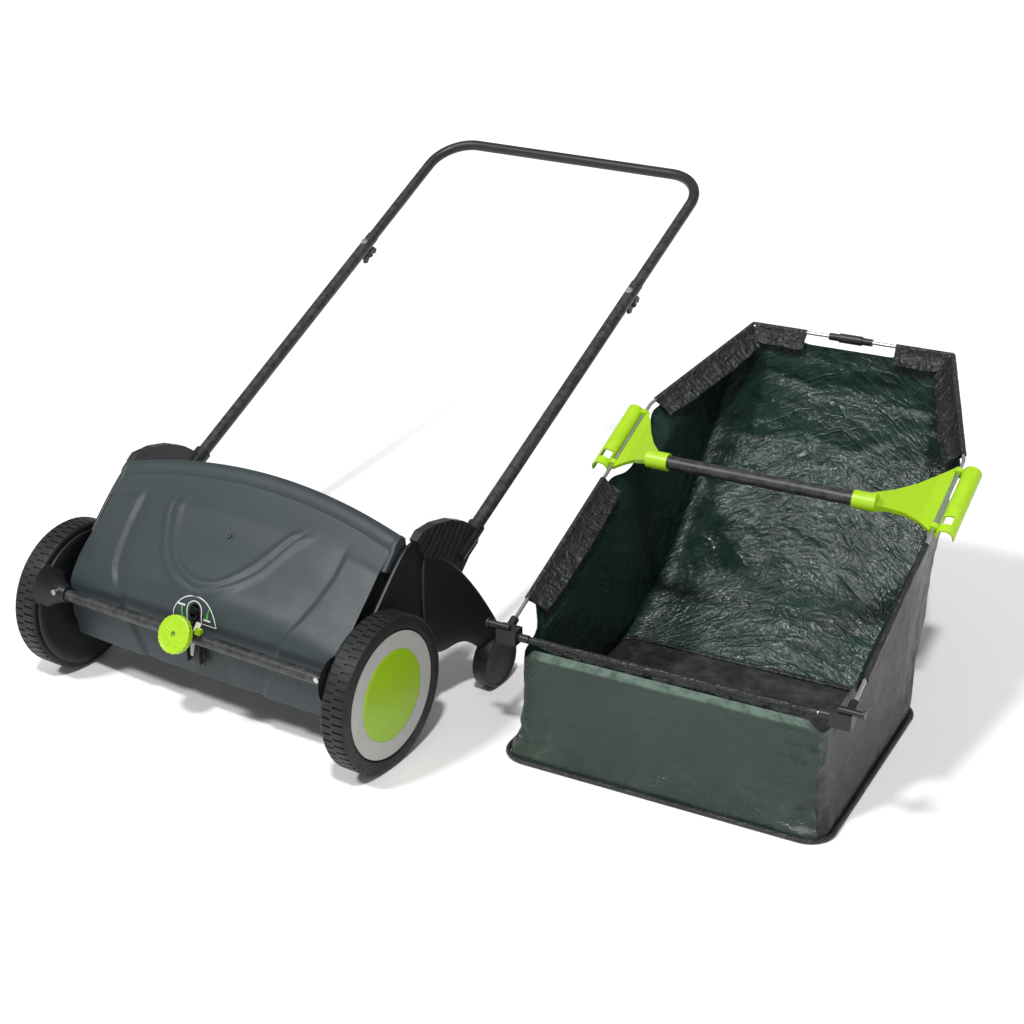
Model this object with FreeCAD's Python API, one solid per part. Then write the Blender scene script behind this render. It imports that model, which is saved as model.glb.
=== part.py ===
import FreeCAD, Part
import math
import os

V = FreeCAD.Vector

# Lawn sweeper with its detached collector.  Millimetres, +Z up, sweeper facing -Y,
# origin on the floor under the middle of the overall bounding box.
ORIGIN_X = 336.14
ORIGIN_Y = 475.95

# ---- wheels and gear drive ---------------------------------------------------------
WHEEL_R = 125.0
TYRE_W = 42.0
WHEEL_X = 312.75
TYRE_BORE_R = 103.0
TREAD_BARS = 60
TREAD_DEPTH = 2.6
TREAD_GROOVE = 3.2
RIM_WALL = 4.0
HUB_X0 = 292.6
RING_R = 101.0
CAP_R = 73.0
AXLE_R = 8.0
RUN_GAP = 0.1
GEAR_M = 2.0
RING_TEETH = 90
PINION_TEETH = 15
PRESSURE = math.radians(20.0)
BACKLASH = 0.16
GEAR_X0 = 294.0
GEAR_X1 = 301.0
AXLE_Z = WHEEL_R
BRUSH_Y = 70.0
CENTRE_DISTANCE = 0.5 * GEAR_M * (RING_TEETH - PINION_TEETH)
BRUSH_Z = AXLE_Z - math.sqrt(CENTRE_DISTANCE ** 2 - BRUSH_Y ** 2)
SHAFT_R = 6.0
BRUSH_R = 86.0
BRUSH_HALF = 257.0
BRUSH_ROWS = 4

# ---- side arms ---------------------------------------------------------------------
PLATE_X0 = 284.0
PLATE_X1 = 290.5
DISC_X0 = 287.0
DISC_X1 = 290.5
DISC_R = 115.0
DISC_LIP = 3.0
FOOT_Y = 300.0
FOOT_R = 47.0
FOOT_X0 = 307.0
FOOT_X1 = 333.0
TILT = 6.0

# ---- front bar and height setting --------------------------------------------------
BAR_Y = -74.0
BAR_Z = 164.0
BAR_R = 9.5
BAR_HALF = 272.0
BAR_ANGLE = math.atan2(BAR_Z - AXLE_Z, BAR_Y)
BAR_RADIUS = math.hypot(BAR_Y, BAR_Z - AXLE_Z)
KNOB_R = 32.0
KNOB_T = 13.0
KNOB_SEAT = 112.0
KNOB_NECK_R = 11.0
KNOB_GRIPS = 24
BOLT_R = 3.0
BOLT_HEAD_R = 8.0
BOLT_HEAD_BACK = 66.0
BOLT_END = 119.0
STRAP_R0 = 71.0
STRAP_R1 = 73.0
SLOT_HALF = 11.0
SLOT_FOOT = 118.0
SLOT_CROWN = 201.0

# ---- handle ------------------------------------------------------------------------
TUBE_X = 287.6
HANDLE_ANGLE = math.radians(27.54)
JOINT_Y = 787.0
JOINT_Z = 535.2
LOWER_R = 11.0
UPPER_R = 9.7
TUBE_WALL = 1.2
TOP_RUN = 316.0
BEND_R = 72.0
ALONG = V(0, math.cos(HANDLE_ANGLE), math.sin(HANDLE_ANGLE))
ACROSS = V(0, -math.sin(HANDLE_ANGLE), math.cos(HANDLE_ANGLE))

# ---- hood --------------------------------------------------------------------------
HOOD_HALF = 272.0
LIP_HALF = 278.0
HOOD_T = 3.0
SCREW_START = V(0, 32.6, 293.0)
SCREW_HEADING = V(0, 0.66, -0.75)
SCREW_HOLE = (V(0, 20, 300), SCREW_HEADING, 3.0, 60.0)
TAB_OUTLINE = [(61, 290), (85, 312), (112, 322), (126, 306), (100, 268)]
TAB_X1 = 280.0
PLATE_R = 46.0
PLATE_BASE_Z = 181.0
PLATE_NORMAL = V(0, -0.90, 0.43)
LIP_Y = 101.0
LIP_Z = 332.5
LIP_ARCH_Y = 17.0
LIP_ARCH_Z = 33.5
END_PLATE_X0 = 265.0
END_PLATE_X1 = 268.0

# ---- collector ---------------------------------------------------------------------
BAG_X = 714.0
BAG_Y = 128.0
BAG_YAW = 4.5
FRAME_Z0 = 184.0
FRAME_SLOPE = 0.38
ROD_R = 3.0
FABRIC = 3.0
SLEEVE_DROP = 24.0
SLEEVE_BAND = 32.0
ROD_A = 269.0
BEND_B = 556.0
TOP_A = 177.0
TOP_B = 787.0
CROSS_A = 153.0
CROSS_B = 369.0
CROSS_Z = 378.5
CROSS_R = 11.0


def cyl(start, direction, radius, length):
    """Cylinder from a start point along a direction."""
    return Part.makeCylinder(radius, length, start, direction)


def rod(start, end, radius):
    """Cylinder between two points."""
    span = end.sub(start)
    return Part.makeCylinder(radius, span.Length, start, span)


def cyl_x(x0, x1, y, z, radius):
    """Cylinder parallel to X."""
    return Part.makeCylinder(radius, x1 - x0, V(x0, y, z), V(1, 0, 0))


def box(x0, x1, y0, y1, z0, z1):
    """Axis-aligned box."""
    return Part.makeBox(x1 - x0, y1 - y0, z1 - z0, V(x0, y0, z0))


def prism_x(points, x0, x1):
    """Polygon in the YZ plane, extruded along X."""
    loop = [V(x0, y, z) for y, z in points]
    face = Part.Face(Part.makePolygon(loop + [loop[0]]))
    return face.extrude(V(x1 - x0, 0, 0))


def turn_x(profile):
    """Ring turned about the wheel axle from (x, radius) points."""
    loop = [V(x, 0, AXLE_Z + r) for x, r in profile]
    face = Part.Face(Part.makePolygon(loop + [loop[0]]))
    return face.revolve(V(0, 0, AXLE_Z), V(1, 0, 0), 360)


def loft(loops, ruled=True):
    """Closed solid through closed loops of points."""
    wires = [Part.makePolygon(loop + [loop[0]]) for loop in loops]
    return Part.makeLoft(wires, True, ruled)


def mirrored(shape):
    """Mirror image across the middle plane."""
    return shape.mirror(V(0, 0, 0), V(1, 0, 0))


def both(shape):
    """One compound with a part and its mirror image."""
    return Part.makeCompound([shape, mirrored(shape)])


def fuse(shapes):
    """One solid from overlapping solids."""
    return shapes[0].multiFuse(shapes[1:]).removeSplitter()


def bent_path(points, radius):
    """Wire through points with rounded corners."""
    edges = []
    last = points[0]
    for before, corner, after in zip(points, points[1:], points[2:]):
        back = before.sub(corner).normalize()
        ahead = after.sub(corner).normalize()
        half = 0.5 * back.getAngle(ahead)
        reach = radius / math.tan(half)
        bisector = back.add(ahead).normalize()
        middle = corner.add(bisector.multiply(radius / math.sin(half) - radius))
        first = corner.add(V(back).multiply(reach))
        second = corner.add(V(ahead).multiply(reach))
        edges.append(Part.makeLine(last, first))
        edges.append(Part.Arc(first, middle, second).toShape())
        last = second
    edges.append(Part.makeLine(last, points[-1]))
    return Part.Wire(edges)


def bent_tube(points, bend, radius, bore=0.0):
    """Round tube or rod along a bent path."""
    path = bent_path(points, bend)
    heading = points[1].sub(points[0])
    outer = Part.Wire(Part.makeCircle(radius, points[0], heading))
    solid = path.makePipeShell([outer], True, False)
    if bore:
        inner = Part.Wire(Part.makeCircle(bore, points[0], heading))
        solid = solid.cut(path.makePipeShell([inner], True, False))
    return solid


# ---- wheels ------------------------------------------------------------------------
def tyre():
    """Hollow-section tread ring with two rows of staggered bars."""
    x0 = WHEEL_X - 0.5 * TYRE_W
    x1 = WHEEL_X + 0.5 * TYRE_W
    shoulder = 5.0
    ring = turn_x([(x0, TYRE_BORE_R), (x0, WHEEL_R - shoulder), (x0 + 1.4, WHEEL_R - 2.0),
                   (x0 + shoulder, WHEEL_R), (x1 - shoulder, WHEEL_R),
                   (x1 - 1.4, WHEEL_R - 2.0), (x1, WHEEL_R - shoulder),
                   (x1, RING_R + 4.0), (x1 - 2.5, TYRE_BORE_R)])
    grooves = []
    step = 360.0 / TREAD_BARS
    for index in range(TREAD_BARS):
        for side, phase in ((0, 0.0), (1, 0.5)):
            start = x0 - 1.0 if side == 0 else WHEEL_X + 1.5
            groove = box(start, start + 0.5 * TYRE_W - 0.5, -0.5 * TREAD_GROOVE,
                         0.5 * TREAD_GROOVE, AXLE_Z + WHEEL_R - TREAD_DEPTH,
                         AXLE_Z + WHEEL_R + 2.0)
            groove.rotate(V(0, 0, AXLE_Z), V(1, 0, 0), (index + phase) * step)
            grooves.append(groove)
    return ring.cut(Part.makeCompound(grooves))


def gear_loop(teeth, tip, root, slack):
    """Involute outline of a spur gear as (angle, radius) points."""
    pitch = 0.5 * GEAR_M * teeth
    base = pitch * math.cos(PRESSURE)
    inv_pitch = math.tan(PRESSURE) - PRESSURE
    half = 0.5 * math.pi / teeth + slack / pitch
    start = max(base, root)
    flank = []
    for step in range(4):
        radius = start + (tip - start) * step / 3.0
        angle = math.acos(min(1.0, base / radius))
        flank.append((half + inv_pitch - (math.tan(angle) - angle), radius))
    if root < base:
        flank.insert(0, (flank[0][0], root))
    outline = []
    for index in range(teeth):
        centre = 2.0 * math.pi * index / teeth
        outline += [(centre - a, r) for a, r in flank]
        outline += [(centre + a, r) for a, r in reversed(flank)]
    return outline


def gear_wire(outline, x, y, z, phase):
    """Closed wire of a gear outline in a plane across X."""
    points = [V(x, y + r * math.cos(a + phase), z + r * math.sin(a + phase))
              for a, r in outline]
    return Part.makePolygon(points + [points[0]])


MESH_PHASE = math.atan2(BRUSH_Z - AXLE_Z, BRUSH_Y)


def rim():
    """Plastic wheel body with its hub and internal drive ring."""
    x0 = WHEEL_X - 0.5 * TYRE_W
    x1 = WHEEL_X + 0.5 * TYRE_W
    wall = TYRE_BORE_R - RIM_WALL
    body = turn_x([(x0 + 0.8, wall), (x0 + 0.8, TYRE_BORE_R), (x1 - 2.6, TYRE_BORE_R),
                   (x1 - 1.4, RING_R + 1.2), (x1 - 3.6, RING_R + 1.2),
                   (x1 - 3.6, CAP_R - 8.0), (x1 - 11.0, 19.0), (x1 - 11.0, AXLE_R + RUN_GAP),
                   (HUB_X0, AXLE_R + RUN_GAP), (HUB_X0, 17.0), (x1 - 13.6, 19.0),
                   (x1 - 7.0, CAP_R - 8.0), (x1 - 7.0, wall)])
    outline = gear_loop(RING_TEETH, 92.4, 88.6, BACKLASH)
    inner = gear_wire(outline, GEAR_X0, 0.0, AXLE_Z, MESH_PHASE)
    outer = Part.Wire(Part.makeCircle(wall + 0.5, V(GEAR_X0, 0, AXLE_Z), V(1, 0, 0)))
    toothed = Part.Face(outer).cut(Part.Face(inner))
    return body.fuse(toothed.extrude(V(x1 - 6.0 - GEAR_X0, 0, 0)))


def trim_ring():
    """Flat ring on the wheel's outer face."""
    x1 = WHEEL_X + 0.5 * TYRE_W
    return turn_x([(x1 - 3.6, CAP_R), (x1 - 3.6, RING_R), (x1 - 1.4, RING_R),
                   (x1 - 1.4, CAP_R)])


def hub_cap():
    """Domed cap over the axle end."""
    x1 = WHEEL_X + 0.5 * TYRE_W
    return turn_x([(x1 - 3.6, CAP_R - 5.0), (x1 - 3.6, CAP_R - 0.3), (x1 - 0.9, CAP_R - 0.3),
                   (x1 + 0.2, CAP_R - 3.0), (x1 + 1.6, 30.0), (x1 + 1.8, 0.0),
                   (x1 + 0.0, 0.0), (x1 - 0.2, 30.0), (x1 - 1.6, CAP_R - 5.0)])


def pinion():
    """Drive pinion running loose on the brush shaft end."""
    outline = gear_loop(PINION_TEETH, 16.5, 12.5, -BACKLASH)
    wire = gear_wire(outline, GEAR_X0, BRUSH_Y, BRUSH_Z, MESH_PHASE)
    gear = Part.Face(wire).extrude(V(GEAR_X1 - GEAR_X0, 0, 0))
    return gear.cut(cyl_x(GEAR_X0 - 1, GEAR_X1 + 1, BRUSH_Y, BRUSH_Z, SHAFT_R + RUN_GAP))


# ---- brush -------------------------------------------------------------------------
def brush_shaft():
    """Steel shaft through both side plates."""
    return cyl_x(-GEAR_X1, GEAR_X1, BRUSH_Y, BRUSH_Z, SHAFT_R)


def brush_core():
    """Moulded core with one channel for each brush row."""
    core = cyl_x(-BRUSH_HALF, BRUSH_HALF, BRUSH_Y, BRUSH_Z, 15.0)
    arms = []
    for index in range(BRUSH_ROWS):
        arm = box(-BRUSH_HALF, BRUSH_HALF, BRUSH_Y - 5.5, BRUSH_Y + 5.5,
                  BRUSH_Z + 8.0, BRUSH_Z + 36.0)
        channel = box(-BRUSH_HALF - 1, BRUSH_HALF + 1, BRUSH_Y - 3.5, BRUSH_Y + 3.5,
                      BRUSH_Z + 26.0, BRUSH_Z + 37.0)
        arm = arm.cut(channel)
        arm.rotate(V(0, BRUSH_Y, BRUSH_Z), V(1, 0, 0), 45.0 + index * 360.0 / BRUSH_ROWS)
        arms.append(arm)
    whole = fuse([core] + arms)
    return whole.cut(cyl_x(-BRUSH_HALF - 1, BRUSH_HALF + 1, BRUSH_Y, BRUSH_Z, SHAFT_R))


def brush_rows():
    """Bristle strips seated in the core's channels."""
    rows = []
    for index in range(BRUSH_ROWS):
        row = box(-BRUSH_HALF, BRUSH_HALF, BRUSH_Y - 3.5, BRUSH_Y + 3.5,
                  BRUSH_Z + 26.0, BRUSH_Z + BRUSH_R)
        row.rotate(V(0, BRUSH_Y, BRUSH_Z), V(1, 0, 0), 45.0 + index * 360.0 / BRUSH_ROWS)
        rows.append(row)
    return Part.makeCompound(rows)


# ---- carriage ----------------------------------------------------------------------
EAR = [(121, 323), (135, 333), (172, 333), (214, 324), (248, 309), (273, 291), (292, 271),
       (286, 256), (262, 243), (240, 222), (226, 222), (183, 266), (140, 288)]
EAR_X0 = 283.0
EAR_X1 = 298.0


def tube_point(y):
    """Point of the handle tube's axis at a given Y."""
    return V(TUBE_X, y, JOINT_Z + (y - JOINT_Y) * math.tan(HANDLE_ANGLE))


def tube_space():
    """Space the lower tube fills inside its socket."""
    return rod(tube_point(236.0), tube_point(420.0), LOWER_R)


def ear():
    """Ribbed fan-shaped socket that takes the handle tube."""
    body = prism_x(EAR, EAR_X0, EAR_X1)
    body = body.fuse(rod(tube_point(238.0), tube_point(298.0), 14.5))
    grooves = []
    for index in range(8):
        y = 128.0 + 17.0 * index
        cut = box(EAR_X1 - 1.8, EAR_X1 + 2.0, -1.7, 1.7, -70.0, 40.0)
        cut.rotate(V(0, 0, 0), V(1, 0, 0), -52.0 + 2.0 * index)
        cut.translate(V(0, y, 308.0 - 0.20 * (y - 128.0)))
        grooves.append(cut)
    body = body.cut(Part.makeCompound(grooves))
    return body.cut(tube_space())


def arc_slot(radius, centre_angle, half_angle, half_width, x0, x1):
    """Curved slot concentric with the wheel axle, as a cutting solid."""
    first = centre_angle - half_angle
    ring = turn_x([(x0, radius - half_width), (x0, radius + half_width),
                   (x1, radius + half_width), (x1, radius - half_width)])
    reach = radius + half_width + 20.0
    edge = [(0.0, AXLE_Z)]
    for step in range(5):
        angle = first + 2.0 * half_angle * step / 4.0
        edge.append((reach * math.cos(angle), AXLE_Z + reach * math.sin(angle)))
    wedge = prism_x(edge, x0 - 1, x1 + 1)
    slot = ring.common(wedge)
    for angle in (first, centre_angle + half_angle):
        y = radius * math.cos(angle)
        z = AXLE_Z + radius * math.sin(angle)
        slot = slot.fuse(cyl_x(x0, x1, y, z, half_width))
    return slot


PLATE = [(18, 238), (76, 294), (112, 318), (150, 312), (183, 277), (190, 190), (178, 94),
         (120, 58), (60, 46), (0, 62), (-36, 96), (-40, 150), (-30, 190)]


def side_arm():
    """Side plate, wheel dust disc, bar boss, trailing arm and foot in one moulding."""
    plate = prism_x(PLATE, PLATE_X0, PLATE_X1)
    disc = cyl_x(DISC_X0, DISC_X1, 0, AXLE_Z, DISC_R)
    lip = turn_x([(PLATE_X0, DISC_R - DISC_LIP), (PLATE_X0, DISC_R), (DISC_X1, DISC_R),
                  (DISC_X1, DISC_R - DISC_LIP)])
    boss = loft([[V(262, -61, 181), V(262, -94, 181), V(262, -94, 152), V(262, -61, 150)],
                 [V(DISC_X0 + 1, -62, 225), V(DISC_X0 + 1, -103, 183),
                  V(DISC_X0 + 1, -111, 160), V(DISC_X0 + 1, -58, 140)]])
    arm = loft([[V(284, 130, 84), V(290.5, 130, 84), V(290.5, 130, 296), V(284, 130, 296)],
                [V(284, 178, 94), V(293, 178, 94), V(293, 178, 279), V(284, 178, 279)],
                [V(289, 230, 110), V(305, 230, 110), V(305, 230, 226), V(289, 230, 226)],
                [V(299, 262, 84), V(322, 262, 84), V(322, 262, 176), V(299, 262, 176)],
                [V(305, 290, 52), V(331, 290, 52), V(331, 290, 128), V(305, 290, 128)],
                [V(308, 316, 34), V(332, 316, 34), V(332, 316, 88), V(308, 316, 88)]])
    foot = cyl_x(FOOT_X0, FOOT_X1, FOOT_Y, FOOT_R, FOOT_R)
    body = fuse([plate, disc, lip, boss, arm, foot])
    brush_angle = math.atan2(BRUSH_Z - AXLE_Z, BRUSH_Y)
    slot = arc_slot(CENTRE_DISTANCE, brush_angle, math.radians(TILT + 2.0), SHAFT_R + 2.0,
                    PLATE_X0 - 30, DISC_X1 + 2)
    body = body.cut(slot)
    body = body.cut(cyl_x(PLATE_X0 - 30, DISC_X1 + 2, 0, AXLE_Z, AXLE_R))
    body = body.cut(cyl_x(0, BAR_HALF, BAR_Y, BAR_Z, BAR_R))
    body = body.cut(bar_screws())
    body = body.cut(prism_x(EAR, EAR_X0 - 1, 330.0))
    body = body.cut(rod(tube_point(231.0), tube_point(298.0), 14.5))
    return body


SCREW_X = 267.0
SCREW_Y = -97.0
SCREW_Z = 177.0


def bar_screws():
    """Pan-head screws at both bar ends."""
    start = V(SCREW_X, SCREW_Y, SCREW_Z)
    heading = V(0, 1, 0)
    screw = cyl(start, heading, 1.9, 13.8)
    return screw.fuse(cyl(start.sub(heading), heading, 4.6, 2.4))


def axle_pin():
    """Stub axle through end plate, side arm and wheel hub."""
    return cyl_x(260.0, 328.5, 0, AXLE_Z, AXLE_R)


def axle_clip():
    """Washer that keeps the wheel on its stub axle."""
    ring = cyl_x(323.6, 325.2, 0, AXLE_Z, 14.0)
    return ring.cut(cyl_x(323.0, 326.0, 0, AXLE_Z, AXLE_R))


def front_bar():
    """Cross bar in front of the hood."""
    bar = cyl_x(-BAR_HALF, BAR_HALF, BAR_Y, BAR_Z, BAR_R)
    return bar.cut(height_bolt_shank())


RADIAL = V(0, math.cos(BAR_ANGLE), math.sin(BAR_ANGLE))


def radial_point(radius):
    """Point on the height bolt's axis at a distance from the axle."""
    return V(0, 0, AXLE_Z).add(V(RADIAL).multiply(radius))


def height_bolt_shank():
    """Shank of the height bolt."""
    return rod(radial_point(BOLT_HEAD_BACK - 2.0), radial_point(BOLT_END), BOLT_R)


def height_bolt():
    """Bolt through strap, bar and knob, with its head plate behind the strap."""
    head = rod(radial_point(BOLT_HEAD_BACK), radial_point(STRAP_R0 - 0.8), BOLT_HEAD_R)
    return height_bolt_shank().fuse(head)


def height_knob():
    """Grooved clamping disc with a short neck."""
    face = radial_point(KNOB_SEAT)
    neck = rod(radial_point(BAR_RADIUS + BAR_R + 0.6), face, KNOB_NECK_R)
    disc = cyl(face, RADIAL, KNOB_R - 2.0, KNOB_T)
    rim_band = cyl(face.add(V(RADIAL).multiply(2.0)), RADIAL, KNOB_R, KNOB_T - 4.0)
    body = fuse([neck, disc, rim_band])
    cutters = []
    for index in range(KNOB_GRIPS):
        cutter = cyl(face.add(V(KNOB_R + 1.2, 0, 0)).sub(RADIAL), RADIAL, 2.0, KNOB_T + 4.0)
        cutter.rotate(face, RADIAL, index * 360.0 / KNOB_GRIPS)
        cutters.append(cutter)
    body = body.cut(Part.makeCompound(cutters))
    body = body.cut(cyl(radial_point(121.0), RADIAL, 5.5, 10.0))
    return body.cut(rod(radial_point(60.0), radial_point(130.0), BOLT_R + RUN_GAP))


def height_pointer():
    """Small wedge fixed on the bar beside the knob."""
    wedge = prism_x([(-79, 168), (-68, 168), (-70, 181), (-77, 181)], 15.0, 25.0)
    return wedge.cut(cyl_x(0, BAR_HALF, BAR_Y, BAR_Z, BAR_R))


def lower_tube():
    """Handle's lower tube, open at both ends."""
    start = tube_point(236.5)
    end = V(TUBE_X, JOINT_Y, JOINT_Z).add(V(ALONG).multiply(26.0))
    tube = rod(start, end, LOWER_R).cut(rod(start, end, LOWER_R - TUBE_WALL))
    return tube.cut(handle_bolt_shank())


def upper_handle():
    """One-piece U-shaped upper handle pushed into both lower tubes."""
    foot = V(TUBE_X, JOINT_Y, JOINT_Z).sub(V(ALONG).multiply(32.0))
    corner = V(TUBE_X, JOINT_Y, JOINT_Z).add(V(ALONG).multiply(TOP_RUN))
    points = [foot, corner, V(-corner.x, corner.y, corner.z), V(-foot.x, foot.y, foot.z)]
    tube = bent_tube(points, BEND_R, UPPER_R, UPPER_R - TUBE_WALL)
    tube = tube.cut(handle_bolt_shank())
    return tube.cut(mirrored(handle_bolt_shank()))


BOLT_TOP = 13.0
BOLT_BOTTOM = 21.0
JOINT = V(TUBE_X, JOINT_Y, JOINT_Z)


def handle_bolt_shank():
    """Shank across both tubes at the handle joint."""
    return rod(JOINT.sub(V(ACROSS).multiply(BOLT_BOTTOM)), JOINT.add(V(ACROSS).multiply(11.2)), 3.0)


def handle_bolt():
    """Domed bolt at the handle joint."""
    head_base = JOINT.add(V(ACROSS).multiply(10.6))
    head = Part.makeCone(7.0, 3.5, 4.2, head_base, ACROSS)
    head = head.cut(rod(JOINT.sub(V(ALONG).multiply(30)), JOINT.add(V(ALONG).multiply(30)), LOWER_R))
    return handle_bolt_shank().fuse(head)


def wing_knob():
    """Two-winged nut under the handle joint."""
    top = JOINT.sub(V(ACROSS).multiply(11.6))
    down = V(ACROSS).multiply(-1.0)
    hub = Part.makeCone(8.0, 6.5, 14.0, top, down)
    span = V(ALONG)
    wings = []
    for sign in (-1.0, 1.0):
        side = V(span).multiply(sign)
        loop = [top.add(V(side).multiply(4.0)).add(V(down).multiply(4.0)),
                top.add(V(side).multiply(17.0)).add(V(down).multiply(6.0)),
                top.add(V(side).multiply(21.0)).add(V(down).multiply(15.0)),
                top.add(V(side).multiply(14.0)).add(V(down).multiply(19.0)),
                top.add(V(side).multiply(3.0)).add(V(down).multiply(13.0))]
        loop = [point.add(V(-2.6, 0, 0)) for point in loop]
        face = Part.Face(Part.makePolygon(loop + [loop[0]]))
        wings.append(face.extrude(V(5.2, 0, 0)))
    body = fuse([hub] + wings)
    return body.cut(rod(JOINT.sub(V(ACROSS).multiply(BOLT_BOTTOM + 12)), JOINT, 3.0 + RUN_GAP))


# ---- deck --------------------------------------------------------------------------
HOOD_MIDDLE = [(16, -19), (15, -6), (8, 0), (-1, -1), (-9, -8), (-14, -16), (-17, -20)]
PANEL_MIDDLE = [(68, 320), (34, 291), (-5, 262), (-38, 236), (-52, 216), (-58, 198),
                (-58.7, 185), (-56, 166), (-53.5, 120), (-50, 83)]
PANEL_END = [(62, 293), (34, 266), (4, 238), (-24, 211), (-38, 198), (-46, 188),
             (-50, 178), (-51, 165), (-47, 120), (-41, 80)]


def hood_outline(x, extra=0.0):
    """Outer profile points of the hood at a distance from the middle."""
    share = 1.0 - (x / HOOD_HALF) ** 2
    lip_y = LIP_Y + LIP_ARCH_Y * share
    lip_z = LIP_Z + LIP_ARCH_Z * share
    points = [(lip_y + dy, lip_z + dz) for dy, dz in HOOD_MIDDLE]
    for (ym, zm), (ye, ze) in zip(PANEL_MIDDLE, PANEL_END):
        points.append((ye + (ym - ye) * share, ze + (zm - ze) * share))
    return offset_line(points, extra)


def offset_line(points, distance):
    """Polyline moved sideways; positive distances go to its left."""
    moved = []
    last = len(points) - 1
    for index, (y, z) in enumerate(points):
        y0, z0 = points[max(index - 1, 0)]
        y1, z1 = points[min(index + 1, last)]
        length = math.hypot(y1 - y0, z1 - z0)
        moved.append((y + distance * (z1 - z0) / length, z - distance * (y1 - y0) / length))
    return moved


def hood_shell(inner, outer):
    """Smooth shell between two offsets of the hood profile."""
    loops = []
    for step in range(-4, 5):
        x = HOOD_HALF * step / 4.0
        out = [V(x, y, z) for y, z in hood_outline(x, -outer)]
        back = [V(x, y, z) for y, z in hood_outline(x, -inner)]
        loops.append(out + list(reversed(back)))
    return loft(loops, False)


def slot_space(margin):
    """Upright slot in the middle of the hood for the height bolt."""
    half = SLOT_HALF + margin
    slot = box(-half, half, -90.0, -20.0, SLOT_FOOT - margin, SLOT_CROWN)
    return slot.fuse(cyl(V(0, -90.0, SLOT_CROWN), V(0, 1, 0), half, 70.0))


def hood():
    """Blow-shaped front hood with a rolled lip and the height slot."""
    shell = hood_shell(-HOOD_T, 0.0)
    shell = shell.cut(slot_space(0.0))
    tab = prism_x(TAB_OUTLINE, HOOD_HALF - 4.0, TAB_X1).cut(hood_shell(0.0, 30.0))
    shell = fuse([shell, tab, mirrored(tab)])
    return shell.cut(cyl(*SCREW_HOLE))


def hood_screw():
    """Screw in a dished washer in the middle of the hood."""
    washer = cyl(SCREW_START, SCREW_HEADING, 9.0, 2.6)
    head = cyl(SCREW_START.sub(V(SCREW_HEADING).multiply(2.0)), SCREW_HEADING, 5.0, 2.4)
    shank = cyl(SCREW_START, SCREW_HEADING, 3.0, 14.0)
    whole = fuse([washer, head, shank])
    return whole.cut(hood_shell(-HOOD_T, 0.0).cut(cyl(*SCREW_HOLE)))


def scale_plate():
    """Half-round scale plate lying on the hood around its slot."""
    skin = hood_shell(0.0, 1.0)
    start = V(0, -60.0, PLATE_BASE_Z).sub(V(PLATE_NORMAL).multiply(20.0))
    disc = cyl(start, PLATE_NORMAL, PLATE_R, PLATE_R)
    disc = disc.cut(box(-60, 60, -120, 20, 100.0, PLATE_BASE_Z))
    plate = skin.common(disc)
    return plate.cut(slot_space(1.5))


def height_strap():
    """Slotted strap concentric with the axle, carried between two cheeks."""
    start = math.degrees(BAR_ANGLE)
    strap = arc_block(STRAP_R0, STRAP_R1, start - 15.0, start + 15.0, -SLOT_HALF, SLOT_HALF)
    for side in (-1.0, 1.0):
        x = side * (SLOT_HALF - 1.0)
        strap = strap.fuse(arc_block(60.0, STRAP_R1, start - 15.0, start + 15.0, x - 1.0, x + 1.0))
    strap = strap.cut(arc_slot_x(math.radians(start), math.radians(TILT + 0.4), 3.4))
    return strap.removeSplitter()


def arc_block(r0, r1, first, last, x0, x1):
    """Part of a ring about the wheel axle."""
    y = r0 * math.cos(math.radians(first))
    z = AXLE_Z + r0 * math.sin(math.radians(first))
    y1 = r1 * math.cos(math.radians(first))
    z1 = AXLE_Z + r1 * math.sin(math.radians(first))
    loop = [V(x0, y, z), V(x1, y, z), V(x1, y1, z1), V(x0, y1, z1)]
    face = Part.Face(Part.makePolygon(loop + [loop[0]]))
    return face.revolve(V(0, 0, AXLE_Z), V(1, 0, 0), last - first)


def arc_slot_x(centre, half, width):
    """Slot through the strap that the bolt runs in."""
    first = math.degrees(centre - half)
    last = math.degrees(centre + half)
    slot = arc_block(STRAP_R0 - 3, STRAP_R1 + 3, first, last, -width, width)
    for angle in (first, last):
        heading = V(0, math.cos(math.radians(angle)), math.sin(math.radians(angle)))
        start = V(0, 0, AXLE_Z).add(V(heading).multiply(STRAP_R0 - 3))
        slot = slot.fuse(cyl(start, heading, width, 8.0))
    return slot


END_PLATE = [(-35, 86), (-42, 122), (-45, 165), (-43, 180), (-22, 207), (5, 233), (36, 262),
             (64, 289), (86, 309), (104, 322), (134, 296), (158, 215), (164, 130), (128, 56),
             (40, 46)]


def end_plate():
    """Deck side that carries the brush shaft and hangs on the stub axle."""
    plate = prism_x(END_PLATE, END_PLATE_X0, END_PLATE_X1)
    boss = cyl_x(END_PLATE_X0, END_PLATE_X1 + 8.0, 0, AXLE_Z, 16.0)
    bush = cyl_x(END_PLATE_X0 - 6.0, END_PLATE_X1 + 8.0, BRUSH_Y, BRUSH_Z, 12.0)
    body = fuse([plate, boss, bush])
    body = body.cut(cyl_x(250.0, 290.0, 0, AXLE_Z, AXLE_R + RUN_GAP))
    body = body.cut(cyl_x(250.0, 290.0, BRUSH_Y, BRUSH_Z, SHAFT_R + RUN_GAP))
    return body.cut(hood_shell(-HOOD_T, 0.0))


# ---- collector (own coordinates: a across, b towards the back) -----------------------
def frame_z(b):
    """Height of the frame rods at a distance from the front."""
    return FRAME_Z0 + FRAME_SLOPE * b


def on_frame(a, b):
    """Point on the frame plane."""
    return V(a, b, frame_z(b))


SLOPE_DIR = V(0, 1, FRAME_SLOPE).normalize()


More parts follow.
